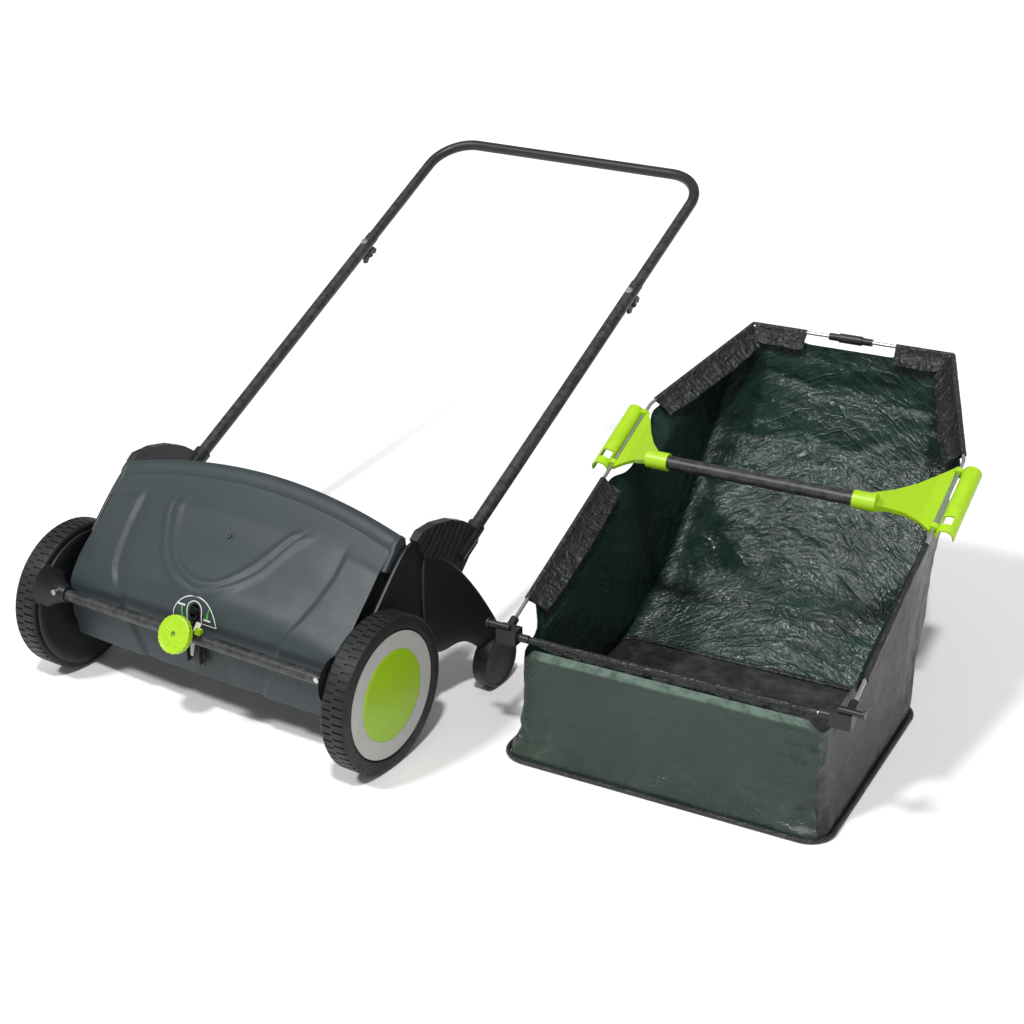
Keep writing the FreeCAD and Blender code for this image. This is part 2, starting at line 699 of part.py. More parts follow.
def side_rod():
    """Bent frame rod from the front corner to the top middle."""
    points = [on_frame(ROD_A, 46.0), on_frame(ROD_A, BEND_B), on_frame(TOP_A, TOP_B),
              on_frame(3.0, TOP_B)]
    return bent_tube(points, 22.0, ROD_R)


def front_rod():
    """Straight rod along the front hem."""
    return rod(on_frame(-246.0, 35.0), on_frame(246.0, 35.0), ROD_R)


def corner_connector():
    """Moulded corner joint with the hanging pin."""
    block = box(246.0, 279.0, 23.0, 47.0, 186.0, 210.0)
    collar = rod(on_frame(229.0, 35.0), on_frame(250.0, 35.0), 6.5)
    socket = rod(on_frame(ROD_A, 40.0), on_frame(ROD_A, 66.0), 6.8)
    pin = cyl(V(258.0, 29.0, 214.0), V(1, 0, 0), 4.6, 38.0)
    flange = cyl(V(293.0, 29.0, 214.0), V(1, 0, 0), 6.6, 3.5)
    body = fuse([block, collar, socket, pin, flange])
    body = body.cut(front_rod())
    return body.cut(side_rod())


def middle_connector():
    """Sleeve that joins the two side rods at the top."""
    body = rod(on_frame(-38.0, TOP_B), on_frame(38.0, TOP_B), 6.4)
    grip = rod(on_frame(-20.0, TOP_B), on_frame(20.0, TOP_B), 8.2)
    body = body.fuse(grip)
    body = body.cut(side_rod())
    return body.cut(mirrored(side_rod()))


def tear_drop(along_start, along_end, inward, width=SLEEVE_DROP):
    """Fabric loop round a rod, hanging towards the inside, as a simple solid."""
    heading = along_end.sub(along_start).normalize()
    down = V(inward).multiply(width)
    side = heading.cross(V(inward)).normalize()
    loop = []
    for step in range(9):
        angle = math.pi * step / 8.0
        offset = V(side).multiply(5.2 * math.cos(angle))
        rise = V(inward).multiply(-5.2 * math.sin(angle))
        loop.append(along_start.add(offset).add(rise))
    loop.append(along_start.add(down).add(V(side).multiply(-1.6)))
    loop.append(along_start.add(down).add(V(side).multiply(1.6)))
    face = Part.Face(Part.makePolygon(loop + [loop[0]]))
    solid = face.extrude(along_end.sub(along_start))
    return solid.cut(rod(along_start, along_end, ROD_R + 0.3))


HANG = V(-0.8, 0, -0.6).normalize()


def lower_sleeve():
    """Hem on the lower part of the side rod."""
    return tear_drop(on_frame(ROD_A, 108.0), on_frame(ROD_A, 372.0), HANG, SLEEVE_BAND)


def upper_sleeve():
    """Hem on the slanting part of the side rod."""
    start = on_frame(ROD_A, BEND_B)
    end = on_frame(TOP_A, TOP_B)
    span = end.sub(start)
    first = start.add(V(span).multiply(0.08))
    last = start.add(V(span).multiply(0.93))
    return tear_drop(first, last, V(-0.66, -0.26, -0.70).normalize(), SLEEVE_BAND)


def top_sleeve():
    """Hem on the top rod beside the middle connector."""
    return tear_drop(on_frame(158.0, TOP_B), on_frame(80.0, TOP_B), V(0, 0, -1.0))


def front_hem():
    """Hem over the front rod."""
    return tear_drop(on_frame(-226.0, 35.0), on_frame(226.0, 35.0), V(0, -0.2, -1.0).normalize())


def cross_tube():
    """Dark carrying tube between the two brackets."""
    outer = cyl(V(-CROSS_A - 20, CROSS_B, CROSS_Z), V(1, 0, 0), CROSS_R, 2 * CROSS_A + 40)
    return outer.cut(cyl(V(-CROSS_A - 20, CROSS_B, CROSS_Z), V(1, 0, 0), CROSS_R - 1.2,
                         2 * CROSS_A + 40))


BRACKET_B0 = 398.0
BRACKET_B1 = 539.0
CHANNEL_A = 288.5
CHANNEL_R = 15.0
CHANNEL_BORE = 12.2


def bracket():
    """Lime side bracket: handle channel, rod clips, web and tube socket."""
    normal = V(0, -SLOPE_DIR.z, SLOPE_DIR.y)
    sections = []
    plan = ((265.0, 0.0, 148.0, 6.0), (246.0, 0.14, 108.0, 6.0), (226.0, 0.38, 70.0, 7.0),
            (202.0, 0.68, 42.0, 9.0), (176.0, 1.0, 27.0, 14.0))
    base = on_frame(0, 0.5 * (BRACKET_B0 + BRACKET_B1))
    goal = V(0, CROSS_B, CROSS_Z)
    for a, share, width, thick in plan:
        centre = base.add(goal.sub(base).multiply(share))
        along = V(SLOPE_DIR).multiply(0.5 * width)
        up = V(normal).multiply(0.5 * thick)
        corners = [centre.sub(along).sub(up), centre.add(along).sub(up),
                   centre.add(along).add(up), centre.sub(along).add(up)]
        sections.append([V(a, c.y, c.z) for c in corners])
    web = loft(sections)
    socket = cyl(V(CROSS_A, CROSS_B, CROSS_Z), V(1, 0, 0), 14.5, 36.0)
    channel_axis0 = on_frame(CHANNEL_A, BRACKET_B0).add(V(normal).multiply(-6.0))
    channel_axis1 = on_frame(CHANNEL_A, BRACKET_B1).add(V(normal).multiply(-6.0))
    channel = rod(channel_axis0, channel_axis1, CHANNEL_R)
    hollow = rod(channel_axis0.sub(V(SLOPE_DIR).multiply(5)),
                 channel_axis1.add(V(SLOPE_DIR).multiply(5)), CHANNEL_BORE)
    channel = channel.cut(hollow)
    below = box(-30, 30, -10, 260, -60, 0)
    below.rotate(V(0, 0, 0), V(1, 0, 0), math.degrees(math.atan(FRAME_SLOPE)))
    below.translate(channel_axis0.sub(V(SLOPE_DIR).multiply(30)).sub(V(normal).multiply(4)))
    channel = channel.cut(below)
    window = box(-5, 12, 16, 34, -5, 60)
    window.rotate(V(0, 0, 0), V(1, 0, 0), math.degrees(math.atan(FRAME_SLOPE)))
    window.translate(channel_axis0.add(V(-6, 0, 0)))
    channel = channel.cut(window)
    clips = []
    for b in (BRACKET_B0 + 6.0, BRACKET_B1 - 14.0):
        middle = on_frame(ROD_A, b)
        ring = rod(middle, middle.add(V(SLOPE_DIR).multiply(9.0)), 8.0)
        clips.append(ring)
    body = web.fuse(socket)
    for piece in clips + [channel]:
        body = body.fuse(piece)
    body = body.cut(rod(on_frame(ROD_A, 300), on_frame(ROD_A, 600), ROD_R))
    clear = CROSS_A - 1.0
    bore = cyl(V(clear, CROSS_B, CROSS_Z), V(1, 0, 0), CROSS_R, 21.0)
    return body.cut(bore)


BASE_FRONT = 6.0
BASE_REAR = 445.0
BASE_HALF = 258.0
BAG_LEVELS = ((0.0, BASE_FRONT, BASE_HALF, 400.0, BASE_HALF, BASE_REAR, 36.0),
              (100.0, 16.0, 252.0, 430.0, 236.0, 575.0, 30.0),
              (200.0, 28.0, 246.0, 440.0, 226.0, 655.0, 26.0),
              (300.0, 30.0, 245.0, 455.0, 224.0, 738.0, 24.0),
              (400.0, 30.0, 245.0, 480.0, 206.0, 780.0, 22.0),
              (520.0, 30.0, 245.0, 500.0, 168.0, 784.0, 20.0))


def bag_ring(level, inset):
    """Rounded outline of the bag at one height."""
    z, front, mid_a, mid_b, rear_a, rear_b, radius = level
    corners = [(mid_a - inset, front + inset, -90.0, 90.0), (rear_a - inset, rear_b - inset, 0.0, 90.0)]
    half = []
    for a, b, start, sweep in corners:
        soft = radius - inset
        ca = a - soft
        cb = b + soft if start < 0 else b - soft
        for step in range(4):
            angle = math.radians(start + sweep * step / 3.0)
            half.append((ca + soft * math.cos(angle), cb + soft * math.sin(angle)))
        if start < 0:
            half.append((mid_a - inset, mid_b))
    points = half + [(-a, b) for a, b in reversed(half)]
    return [V(a, b, z) for a, b in points]


def above_frame(drop):
    """Everything above the frame plane lowered by a drop."""
    loop = [V(-400, -200, frame_z(-200) - drop), V(-400, 1000, frame_z(1000) - drop),
            V(-400, 1000, 1500), V(-400, -200, 1500)]
    face = Part.Face(Part.makePolygon(loop + [loop[0]]))
    return face.extrude(V(800, 0, 0))


def bag_outside():
    """Full outer volume of the bag."""
    return loft([bag_ring(level, 0.0) for level in BAG_LEVELS])


def bag_fabric():
    """Open fabric hopper, closed floor, mouth along the frame plane."""
    levels = [list(level) for level in BAG_LEVELS]
    floor_share = FABRIC / levels[1][0]
    for index in range(1, 7):
        levels[0][index] += (levels[1][index] - levels[0][index]) * floor_share
    levels[0][0] = FABRIC
    inner = loft([bag_ring(level, FABRIC) for level in levels])
    shell = bag_outside().cut(inner)
    return shell.cut(above_frame(SLEEVE_DROP + 1.0))


def base_board():
    """Stiff floor panel lying in the bag."""
    edge = FABRIC + 4.0
    half = BASE_HALF - edge
    corners = [V(-half, BASE_FRONT + edge, 0), V(half, BASE_FRONT + edge, 0),
               V(half, BASE_REAR - edge, 0), V(-half, BASE_REAR - edge, 0)]
    path = rounded_loop(corners, 32.0, FABRIC + 0.2)
    return Part.Face(path).extrude(V(0, 0, 2.5))


def rounded_loop(corners, radius, z):
    """Closed rounded rectangle at a height."""
    edges = []
    count = len(corners)
    for index in range(count):
        here = corners[index]
        before = corners[index - 1]
        after = corners[(index + 1) % count]
        back = before.sub(here).normalize()
        ahead = after.sub(here).normalize()
        first = here.add(V(back).multiply(radius))
        second = here.add(V(ahead).multiply(radius))
        inset = radius * (math.sqrt(2.0) - 1.0)
        middle = here.add(back.add(ahead).normalize().multiply(inset))
        edges.append(Part.Arc(first, middle, second).toShape())
        leave = after.add(V(ahead).multiply(-radius))
        edges.append(Part.makeLine(second, leave))
    wire = Part.Wire(edges)
    wire.translate(V(0, 0, z))
    return wire


def base_piping():
    """Round beading outside the bottom edge of the bag."""
    reach = 4.6
    half = BASE_HALF + reach
    corners = [V(-half, BASE_FRONT - reach, 0), V(half, BASE_FRONT - reach, 0),
               V(half, BASE_REAR + reach, 0), V(-half, BASE_REAR + reach, 0)]
    path = rounded_loop(corners, 36.0 + reach, 4.0)
    first = path.Edges[1].Vertexes[0].Point
    circle = Part.Wire(Part.makeCircle(4.0, first, V(1, 0, 0)))
    start_edges = path.Edges[1:] + path.Edges[:1]
    spine = Part.Wire(start_edges)
    beading = spine.makePipeShell([circle], True, False)
    return beading.cut(bag_outside())


def place_collector(shape):
    """Stand the collector beside the sweeper."""
    placed = shape.copy()
    placed.rotate(V(0, 0, 0), V(0, 0, 1), BAG_YAW)
    placed.translate(V(BAG_X, BAG_Y, 0))
    return placed


# ---- everything --------------------------------------------------------------------
def build():
    """All nodes in the sweeper's own coordinates."""
    nodes = {}
    for name, make in (("side_arm", side_arm), ("handle_socket", ear), ("lower_tube", lower_tube),
                       ("tyre", tyre), ("wheel_rim", rim), ("trim_ring", trim_ring),
                       ("hub_cap", hub_cap), ("pinion", pinion), ("end_plate", end_plate),
                       ("wing_knob", wing_knob)):
        shape = make()
        nodes[name + "_right"] = shape
        nodes[name + "_left"] = mirrored(shape)
    nodes["front_bar"] = front_bar()
    nodes["bar_end_screws"] = both(bar_screws())
    nodes["axle_pins"] = both(axle_pin())
    nodes["axle_washers"] = both(axle_clip())
    nodes["upper_handle"] = upper_handle()
    nodes["handle_bolts"] = both(handle_bolt())
    nodes["height_bolt"] = height_bolt()
    nodes["height_pointer"] = height_pointer()
    nodes["height_knob"] = height_knob()
    nodes["hood"] = hood()
    nodes["hood_screw"] = hood_screw()
    nodes["scale_plate"] = scale_plate()
    nodes["height_strap"] = height_strap()
    nodes["brush_shaft"] = brush_shaft()
    nodes["brush_core"] = brush_core()
    nodes["brush_bristles"] = brush_rows()
    for name, make in (("side_rod", side_rod), ("corner_connector", corner_connector),
                       ("handle_bracket", bracket), ("lower_sleeve", lower_sleeve),
                       ("upper_sleeve", upper_sleeve), ("top_sleeve", top_sleeve)):
        shape = make()
        nodes[name + "_right"] = place_collector(shape)
        nodes[name + "_left"] = place_collector(mirrored(shape))
    for name, make in (("front_rod", front_rod), ("middle_connector", middle_connector),
                       ("cross_tube", cross_tube), ("front_hem", front_hem),
                       ("bag_fabric", bag_fabric), ("base_board", base_board),
                       ("base_piping", base_piping)):
        nodes[name] = place_collector(make())
    for shape in nodes.values():
        shape.translate(V(-ORIGIN_X, -ORIGIN_Y, 0))
    return nodes


def main():
    """Write one STEP file for each node."""
    os.makedirs("parts", exist_ok=True)
    for name, shape in build().items():
        shape.exportStep("parts/" + name + ".step")
        solids = len(shape.Solids)
        print(name, "valid" if shape.isValid() else "INVALID", solids, round(shape.Volume, 1))


main()
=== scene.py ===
"""A push lawn sweeper and its detached fabric collector.

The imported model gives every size, place and moving body.  This file gives each of its nodes a
finish, and adds the formed hood, the soft collector, the brush tufts and the small fittings.
"""

import logging
import math
from collections.abc import Callable, Iterable, Sequence
from dataclasses import dataclass, field
from enum import Enum, IntEnum

import bmesh
import bpy
import numpy as np
from mathutils import Matrix, Vector, noise


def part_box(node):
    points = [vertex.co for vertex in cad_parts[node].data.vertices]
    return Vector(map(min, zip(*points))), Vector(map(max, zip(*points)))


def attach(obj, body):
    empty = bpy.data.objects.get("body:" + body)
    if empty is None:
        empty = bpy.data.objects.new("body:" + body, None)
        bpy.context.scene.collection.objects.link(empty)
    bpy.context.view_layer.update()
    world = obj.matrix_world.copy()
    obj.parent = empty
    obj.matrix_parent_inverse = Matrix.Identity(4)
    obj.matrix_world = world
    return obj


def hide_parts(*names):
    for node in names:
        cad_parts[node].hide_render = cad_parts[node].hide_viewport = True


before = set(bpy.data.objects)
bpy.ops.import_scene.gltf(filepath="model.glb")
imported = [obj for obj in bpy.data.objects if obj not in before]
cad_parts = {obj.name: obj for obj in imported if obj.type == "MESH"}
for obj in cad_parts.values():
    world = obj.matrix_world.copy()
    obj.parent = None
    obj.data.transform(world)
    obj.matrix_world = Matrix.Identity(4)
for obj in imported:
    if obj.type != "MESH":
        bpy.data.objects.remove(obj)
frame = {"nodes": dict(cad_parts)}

LOG = logging.getLogger("lawn_sweeper")
MM = 0.001
Colour = tuple[float, float, float]


def paint(red: int, green: int, blue: int) -> Colour:
    """Linear colour of an 8-bit screen colour."""
    return tuple(
        c / 12.92 if c <= 0.04045 else ((c + 0.055) / 1.055) ** 2.4
        for c in (red / 255.0, green / 255.0, blue / 255.0)
    )


def ease(value: np.ndarray, low: float, high: float) -> np.ndarray:
    """Smooth step from 0 at low to 1 at high."""
    share = np.clip((np.asarray(value, float) - low) / (high - low), 0.0, 1.0)
    return share * share * (3.0 - 2.0 * share)


def rolling(points: np.ndarray, wave: float, seed: float) -> np.ndarray:
    """Smooth noise from -1 to 1.

    Args:
        points: Places in millimetres.
        wave: Rough length of its waves in millimetres.
        seed: Shift that makes it another noise.

    Returns:
        One value a point.
    """
    scaled = np.asarray(points, float) / wave
    return np.array([noise.noise(Vector((p[0] + seed, p[1] - seed, p[2]))) for p in scaled])


def ridged(points: np.ndarray, wave: float, seed: float, sharpness: float = 2.0) -> np.ndarray:
    """Sharp-crested noise from 0 to 1, for creases in stiff cloth."""
    return (1.0 - np.abs(rolling(points, wave, seed)) * 2.0).clip(0.0, 1.0) ** sharpness


def pairs(*names: str) -> tuple[str, ...]:
    """Left and right name of each paired node."""
    return tuple(f"{name}_{side}" for name in names for side in ("left", "right"))


# ---- where things stand ----------------------------------------------------------------


@dataclass
class Layout:
    """The sweeper's and the collector's own origins on the floor.

    Attributes:
        yaw: Turn of the collector about Z, in radians.
        rod_line: Distance of the front rod behind the collector's origin, in millimetres.
        hub_height: Height of the wheels' axle, in millimetres.
        axle: Point on the floor under the middle of the axle.
        across: Direction across the collector.
        back: Direction from the collector's front to its back.
        corner: The collector's origin on the floor.
    """

    yaw: float = math.radians(4.5)
    rod_line: float = 35.0
    hub_height: float = 125.0
    axle: Vector = field(init=False)
    across: Vector = field(init=False)
    back: Vector = field(init=False)
    corner: Vector = field(init=False)

    def __post_init__(self) -> None:
        """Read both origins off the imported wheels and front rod."""
        left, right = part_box("tyre_left"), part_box("tyre_right")
        middle = (left[0] + right[1]) / 2.0
        self.axle = Vector((middle.x, middle.y, 0.0))
        self.across = Vector((math.cos(self.yaw), math.sin(self.yaw), 0.0))
        self.back = Vector((-math.sin(self.yaw), math.cos(self.yaw), 0.0))
        low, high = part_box("front_rod")
        centre = (low + high) / 2.0
        self.corner = Vector((centre.x, centre.y, 0.0)) - self.back * (self.rod_line * MM)

    def sweeper(self, x: float, y: float, z: float) -> Vector:
        """Frame point of sweeper coordinates in millimetres."""
        return self.axle + Vector((x, y, z)) * MM

    def hub(self) -> Vector:
        """Frame point in the middle of the axle."""
        return self.sweeper(0.0, 0.0, self.hub_height)

    def sweeper_grid(self, points: np.ndarray) -> np.ndarray:
        """Frame points of an array of sweeper coordinates in millimetres."""
        return np.asarray(points, float) * MM + np.array(self.axle)

    def collector(self, a: float, b: float, z: float) -> Vector:
        """Frame point of collector coordinates (across, back, up) in millimetres."""
        flat = self.corner + self.across * (a * MM) + self.back * (b * MM)
        return flat + Vector((0.0, 0.0, z * MM))

    def collector_grid(self, points: np.ndarray) -> np.ndarray:
        """Frame points of an array of collector coordinates in millimetres."""
        points = np.asarray(points, float) * MM
        return (
            np.array(self.corner)
            + points[..., 0:1] * np.array(self.across)
            + points[..., 1:2] * np.array(self.back)
            + points[..., 2:3] * np.array((0.0, 0.0, 1.0))
        )


# ---- shader graphs ----------------------------------------------------------------------


class Graph:
    """Short words for building a node tree."""

    def __init__(self, tree: bpy.types.NodeTree) -> None:
        """Hold the tree that nodes are added to."""
        self.tree = tree

    def feed(self, socket: bpy.types.NodeSocket, value: object) -> None:
        """Link a socket, or set a constant on it."""
        if isinstance(value, bpy.types.NodeSocket):
            self.tree.links.new(value, socket)
        else:
            socket.default_value = value

    def add(self, kind: str, inputs: dict | None = None, **settings: object) -> bpy.types.Node:
        """Add a node.

        Args:
            kind: The node's type name.
            inputs: Values or sockets for its inputs, by name or number.
            settings: Properties set on the node.

        Returns:
            The new node.
        """
        node = self.tree.nodes.new(kind)
        for key, value in settings.items():
            setattr(node, key, value)
        for key, value in (inputs or {}).items():
            self.feed(node.inputs[key], value)
        return node

    def maths(self, operation: str, *values: object) -> bpy.types.NodeSocket:
        """Result of one arithmetic step."""
        return self.add("ShaderNodeMath", dict(enumerate(values)), operation=operation).outputs[0]

    def noise(self, vector: object, scale: object, detail: float = 3.0,
              roughness: float = 0.55, distortion: float = 0.0) -> bpy.types.NodeSocket:
        """Fractal noise value."""
        node = self.add("ShaderNodeTexNoise", {
            "Vector": vector, "Scale": scale, "Detail": detail,
            "Roughness": roughness, "Distortion": distortion,
        })
        return node.outputs[0]

    def spread(self, value: object, low: float, high: float,
               floor: float = 0.0, top: float = 1.0) -> bpy.types.NodeSocket:
        """Smoothly remap a value from one span to another."""
        node = self.add("ShaderNodeMapRange", {0: value, 1: low, 2: high, 3: floor, 4: top},
                        interpolation_type="SMOOTHSTEP")
        return node.outputs[0]

    def mix(self, share: object, first: object, second: object) -> bpy.types.NodeSocket:
        """Colour between two colours."""
        node = self.add("ShaderNodeMix", {0: share}, data_type="RGBA")
        for socket, value in ((node.inputs[6], first), (node.inputs[7], second)):
            if isinstance(value, tuple):
                value = (*value, 1.0)
            self.feed(socket, value)
        return node.outputs[2]

    def stretched(self, vector: object, scale: Colour) -> bpy.types.NodeSocket:
        """Vector multiplied by a scale on each axis."""
        return self.add("ShaderNodeMapping", {"Vector": vector, "Scale": scale}).outputs[0]

    def bump(self, height: object, depth: float, under: object = None,
             strength: float = 1.0) -> bpy.types.NodeSocket:
        """Normal raised by a height of the given depth in metres."""
        inputs = {"Height": height, "Distance": depth, "Strength": strength}
        if under is not None:
            inputs["Normal"] = under
        return self.add("ShaderNodeBump", inputs).outputs[0]

    def space(self) -> bpy.types.NodeSocket:
        """The piece's own coordinates in metres."""
        return self.add("ShaderNodeTexCoord").outputs["Object"]

    def cloth(self) -> bpy.types.NodeSocket:
        """The piece's cloth coordinates in metres."""
        return self.add("ShaderNodeUVMap", uv_map="cloth").outputs[0]


class Effect(Enum):
    """Surface effects that several finishes share."""

    GRAIN = "moulding_grain"
    MOTTLE = "soft_mottle"
    SCUFFS = "fine_scuffs"
    DUST = "settled_dust"
    EDGES = "rubbed_edges"
    CREASES = "sharp_creases"
    WEAVE = "tape_weave"


class Effects:
    """Builds each shared effect once, as a node group with named sockets."""

    def __init__(self) -> None:
        """Start with no groups built."""
        self.trees: dict[Effect, bpy.types.NodeTree] = {}
        self.makers: dict[Effect, Callable[[Graph, dict], dict]] = {
            Effect.GRAIN: self.grain,
            Effect.MOTTLE: self.mottle,
            Effect.SCUFFS: self.scuffs,
            Effect.DUST: self.dust,
            Effect.EDGES: self.edges,
            Effect.CREASES: self.creases,
            Effect.WEAVE: self.weave,
        }

    def tree(self, effect: Effect) -> bpy.types.NodeTree:
        """The group of one effect, built at its first use."""
        if effect in self.trees:
            return self.trees[effect]
        tree = bpy.data.node_groups.new(effect.value, "ShaderNodeTree")
        tree.interface.new_socket("Vector", in_out="INPUT", socket_type="NodeSocketVector")
        tree.interface.new_socket("Scale", in_out="INPUT", socket_type="NodeSocketFloat")
        graph = Graph(tree)
        source = graph.add("NodeGroupInput")
        results = self.makers[effect](graph, {"Vector": source.outputs[0],
                                              "Scale": source.outputs[1]})
        for name in results:
            tree.interface.new_socket(name, in_out="OUTPUT", socket_type="NodeSocketFloat")
        sink = graph.add("NodeGroupOutput")
        for name, socket in results.items():
            graph.feed(sink.inputs[name], socket)
        self.trees[effect] = tree
        return tree

    def place(self, graph: Graph, effect: Effect, vector: object,
              scale: float) -> bpy.types.Node:
        """Put an effect's group into a material with its own values."""
        node = graph.tree.nodes.new("ShaderNodeGroup")
        node.node_tree = self.tree(effect)
        graph.feed(node.inputs["Vector"], vector)
        graph.feed(node.inputs["Scale"], scale)
        return node

    def grain(self, graph: Graph, given: dict) -> dict:
        """Fine pebbled texture of a spark-eroded mould."""
        fine = graph.noise(given["Vector"], given["Scale"], 2.0, 0.6)
        cells = graph.add("ShaderNodeTexVoronoi", {
            "Vector": given["Vector"], "Scale": graph.maths("MULTIPLY", given["Scale"], 0.7),
        }, feature="SMOOTH_F1").outputs["Distance"]
        return {"Height": graph.maths("ADD", graph.maths("MULTIPLY", fine, 0.6),
                                      graph.maths("MULTIPLY", cells, 0.5))}

    def mottle(self, graph: Graph, given: dict) -> dict:
        """Broad uneven shade."""
        cloud = graph.noise(given["Vector"], given["Scale"], 4.0, 0.6, 0.4)
        return {"Mask": graph.spread(cloud, 0.28, 0.72)}

    def scuffs(self, graph: Graph, given: dict) -> dict:
        """Thin light scratches in two directions."""
        lines = []
        for stretch in ((1.0, 9.0, 9.0), (8.0, 1.2, 8.0)):
            value = graph.noise(graph.stretched(given["Vector"], stretch), given["Scale"], 2.0)
            lines.append(graph.spread(value, 0.68, 0.76))
        return {"Mask": graph.maths("MAXIMUM", *lines)}

    def dust(self, graph: Graph, given: dict) -> dict:
        """Faint dust on upward faces and near the floor."""
        up = graph.add("ShaderNodeSeparateXYZ", {0: graph.add(
            "ShaderNodeNewGeometry").outputs["Normal"]}).outputs[2]
        height = graph.add("ShaderNodeSeparateXYZ", {0: given["Vector"]}).outputs[2]
        low = graph.spread(height, 0.0, 0.09, 0.75, 0.0)
        share = graph.maths("MAXIMUM", graph.spread(up, 0.55, 1.0, 0.0, 0.5), low)
        patchy = graph.spread(graph.noise(given["Vector"], given["Scale"], 5.0, 0.65), 0.4, 0.72)
        return {"Mask": graph.maths("MULTIPLY", share, patchy)}

    def edges(self, graph: Graph, given: dict) -> dict:
        """Rubbed corners, broken up by noise."""
        crest = graph.add("ShaderNodeNewGeometry").outputs["Pointiness"]
        patchy = graph.spread(graph.noise(given["Vector"], given["Scale"], 4.0), 0.35, 0.65)
        return {"Mask": graph.maths("MULTIPLY", graph.spread(crest, 0.515, 0.59), patchy)}

    def creases(self, graph: Graph, given: dict) -> dict:
        """Sharp-crested creases of stiff cloth."""
        drift = graph.add("ShaderNodeTexNoise", {"Vector": given["Vector"], "Scale": 0.9,
                                                 "Detail": 2.0}).outputs[1]
        drift = graph.add("ShaderNodeVectorMath", {0: drift, 1: (0.9, 0.9, 0.9)},
                          operation="MULTIPLY").outputs[0]
        bent = graph.add("ShaderNodeVectorMath", {0: given["Vector"], 1: drift},
                         operation="ADD").outputs[0]
        total = None
        for share, factor in ((0.55, 1.0), (0.3, 2.1), (0.15, 4.3)):
            facets = graph.add("ShaderNodeTexVoronoi", {
                "Vector": bent, "Scale": graph.maths("MULTIPLY", given["Scale"], factor),
            }, feature="F1", voronoi_dimensions="2D").outputs["Distance"]
            edge = graph.add("ShaderNodeTexVoronoi", {
                "Vector": bent, "Scale": graph.maths("MULTIPLY", given["Scale"], factor),
            }, feature="DISTANCE_TO_EDGE", voronoi_dimensions="2D").outputs["Distance"]
            fold = graph.spread(edge, 0.0, 0.1, 0.3, 0.0)
            part = graph.maths("MULTIPLY", graph.maths("ADD", facets, fold), share)
            total = part if total is None else graph.maths("ADD", total, part)
        return {"Height": total}

    def weave(self, graph: Graph, given: dict) -> dict:
        """Flat tapes passing over and under each other; Scale is tapes per metre."""
        split = graph.add("ShaderNodeSeparateXYZ", {0: given["Vector"]})
        warp = graph.maths("MULTIPLY", split.outputs[0], given["Scale"])
        weft = graph.maths("MULTIPLY", split.outputs[1], given["Scale"])
        crowns = []
        for run in (warp, weft):
            sine = graph.maths("ABSOLUTE", graph.maths("SINE", graph.maths(
                "MULTIPLY", run, math.pi)))
            crowns.append(graph.maths("POWER", sine, 0.45))
        parity = graph.maths("MODULO", graph.maths("ADD", graph.maths("FLOOR", warp),
                                                   graph.maths("FLOOR", weft)), 2.0)
        parity = graph.maths("ABSOLUTE", parity)
        over = graph.maths("MULTIPLY", crowns[0], parity)
        under = graph.maths("MULTIPLY", crowns[1], graph.maths("SUBTRACT", 1.0, parity))
        return {"Height": graph.maths("ADD", over, under), "Mask": parity}


EFFECTS = Effects()


def fresh_material(name: str) -> tuple[bpy.types.Material, Graph, bpy.types.Node]:
    """A new material with a linked Principled shader.

    Args:
        name: The finish's name.

    Returns:
        The material, its graph and its shader node.
    """
    material = bpy.data.materials.new(name)
    material.use_nodes = True
    material.node_tree.nodes.clear()
    graph = Graph(material.node_tree)
    shader = graph.add("ShaderNodeBsdfPrincipled")
    graph.add("ShaderNodeOutputMaterial", {"Surface": shader.outputs[0]})
    return material, graph, shader


@dataclass(frozen=True)
class Moulded:
    """Moulded plastic with a fine grain.

    Attributes:
        colour: Main colour.
        shade: Second colour of the soft mottle.
        roughness: Mean gloss.
        grain: Grains per metre.
        depth: Grain depth in metres.
        wear: Strength of the rubbed edges.
        dust: Strength of the settled dust.
        specular: Strength of the plain reflection.
    """

    name: str
    colour: Colour
    shade: Colour
    roughness: float = 0.42
    grain: float = 1100.0
    depth: float = 0.00005
    wear: float = 0.3
    dust: float = 0.12
    specular: float = 0.5

    def make(self) -> bpy.types.Material:
        """Build the material."""
        material, graph, shader = fresh_material(self.name)
        space = graph.space()
        mottle = EFFECTS.place(graph, Effect.MOTTLE, space, 9.0).outputs["Mask"]
        edges = EFFECTS.place(graph, Effect.EDGES, space, 60.0).outputs["Mask"]
        dust = EFFECTS.place(graph, Effect.DUST, space, 24.0).outputs["Mask"]
        scuffs = EFFECTS.place(graph, Effect.SCUFFS, space, 22.0).outputs["Mask"]
        grain = EFFECTS.place(graph, Effect.GRAIN, space, self.grain).outputs["Height"]
        pale = tuple(min(1.0, c * 1.5 + 0.03) for c in self.colour)
        colour = graph.mix(mottle, self.colour, self.shade)
        colour = graph.mix(graph.maths("MULTIPLY", edges, self.wear), colour, pale)
        colour = graph.mix(graph.maths("MULTIPLY", scuffs, 0.1), colour, pale)
        colour = graph.mix(graph.maths("MULTIPLY", dust, self.dust), colour, (0.33, 0.31, 0.27))
        rough = graph.spread(mottle, 0.0, 1.0, self.roughness - 0.01, self.roughness + 0.02)
        rough = graph.maths("ADD", rough, graph.maths("MULTIPLY", scuffs, 0.08))
        rough = graph.maths("ADD", rough, graph.maths("MULTIPLY", dust, 0.25))
        graph.feed(shader.inputs["Base Color"], colour)
        graph.feed(shader.inputs["Roughness"], rough)
        graph.feed(shader.inputs["Specular IOR Level"], self.specular)
        graph.feed(shader.inputs["Normal"], graph.bump(grain, self.depth))
        return material


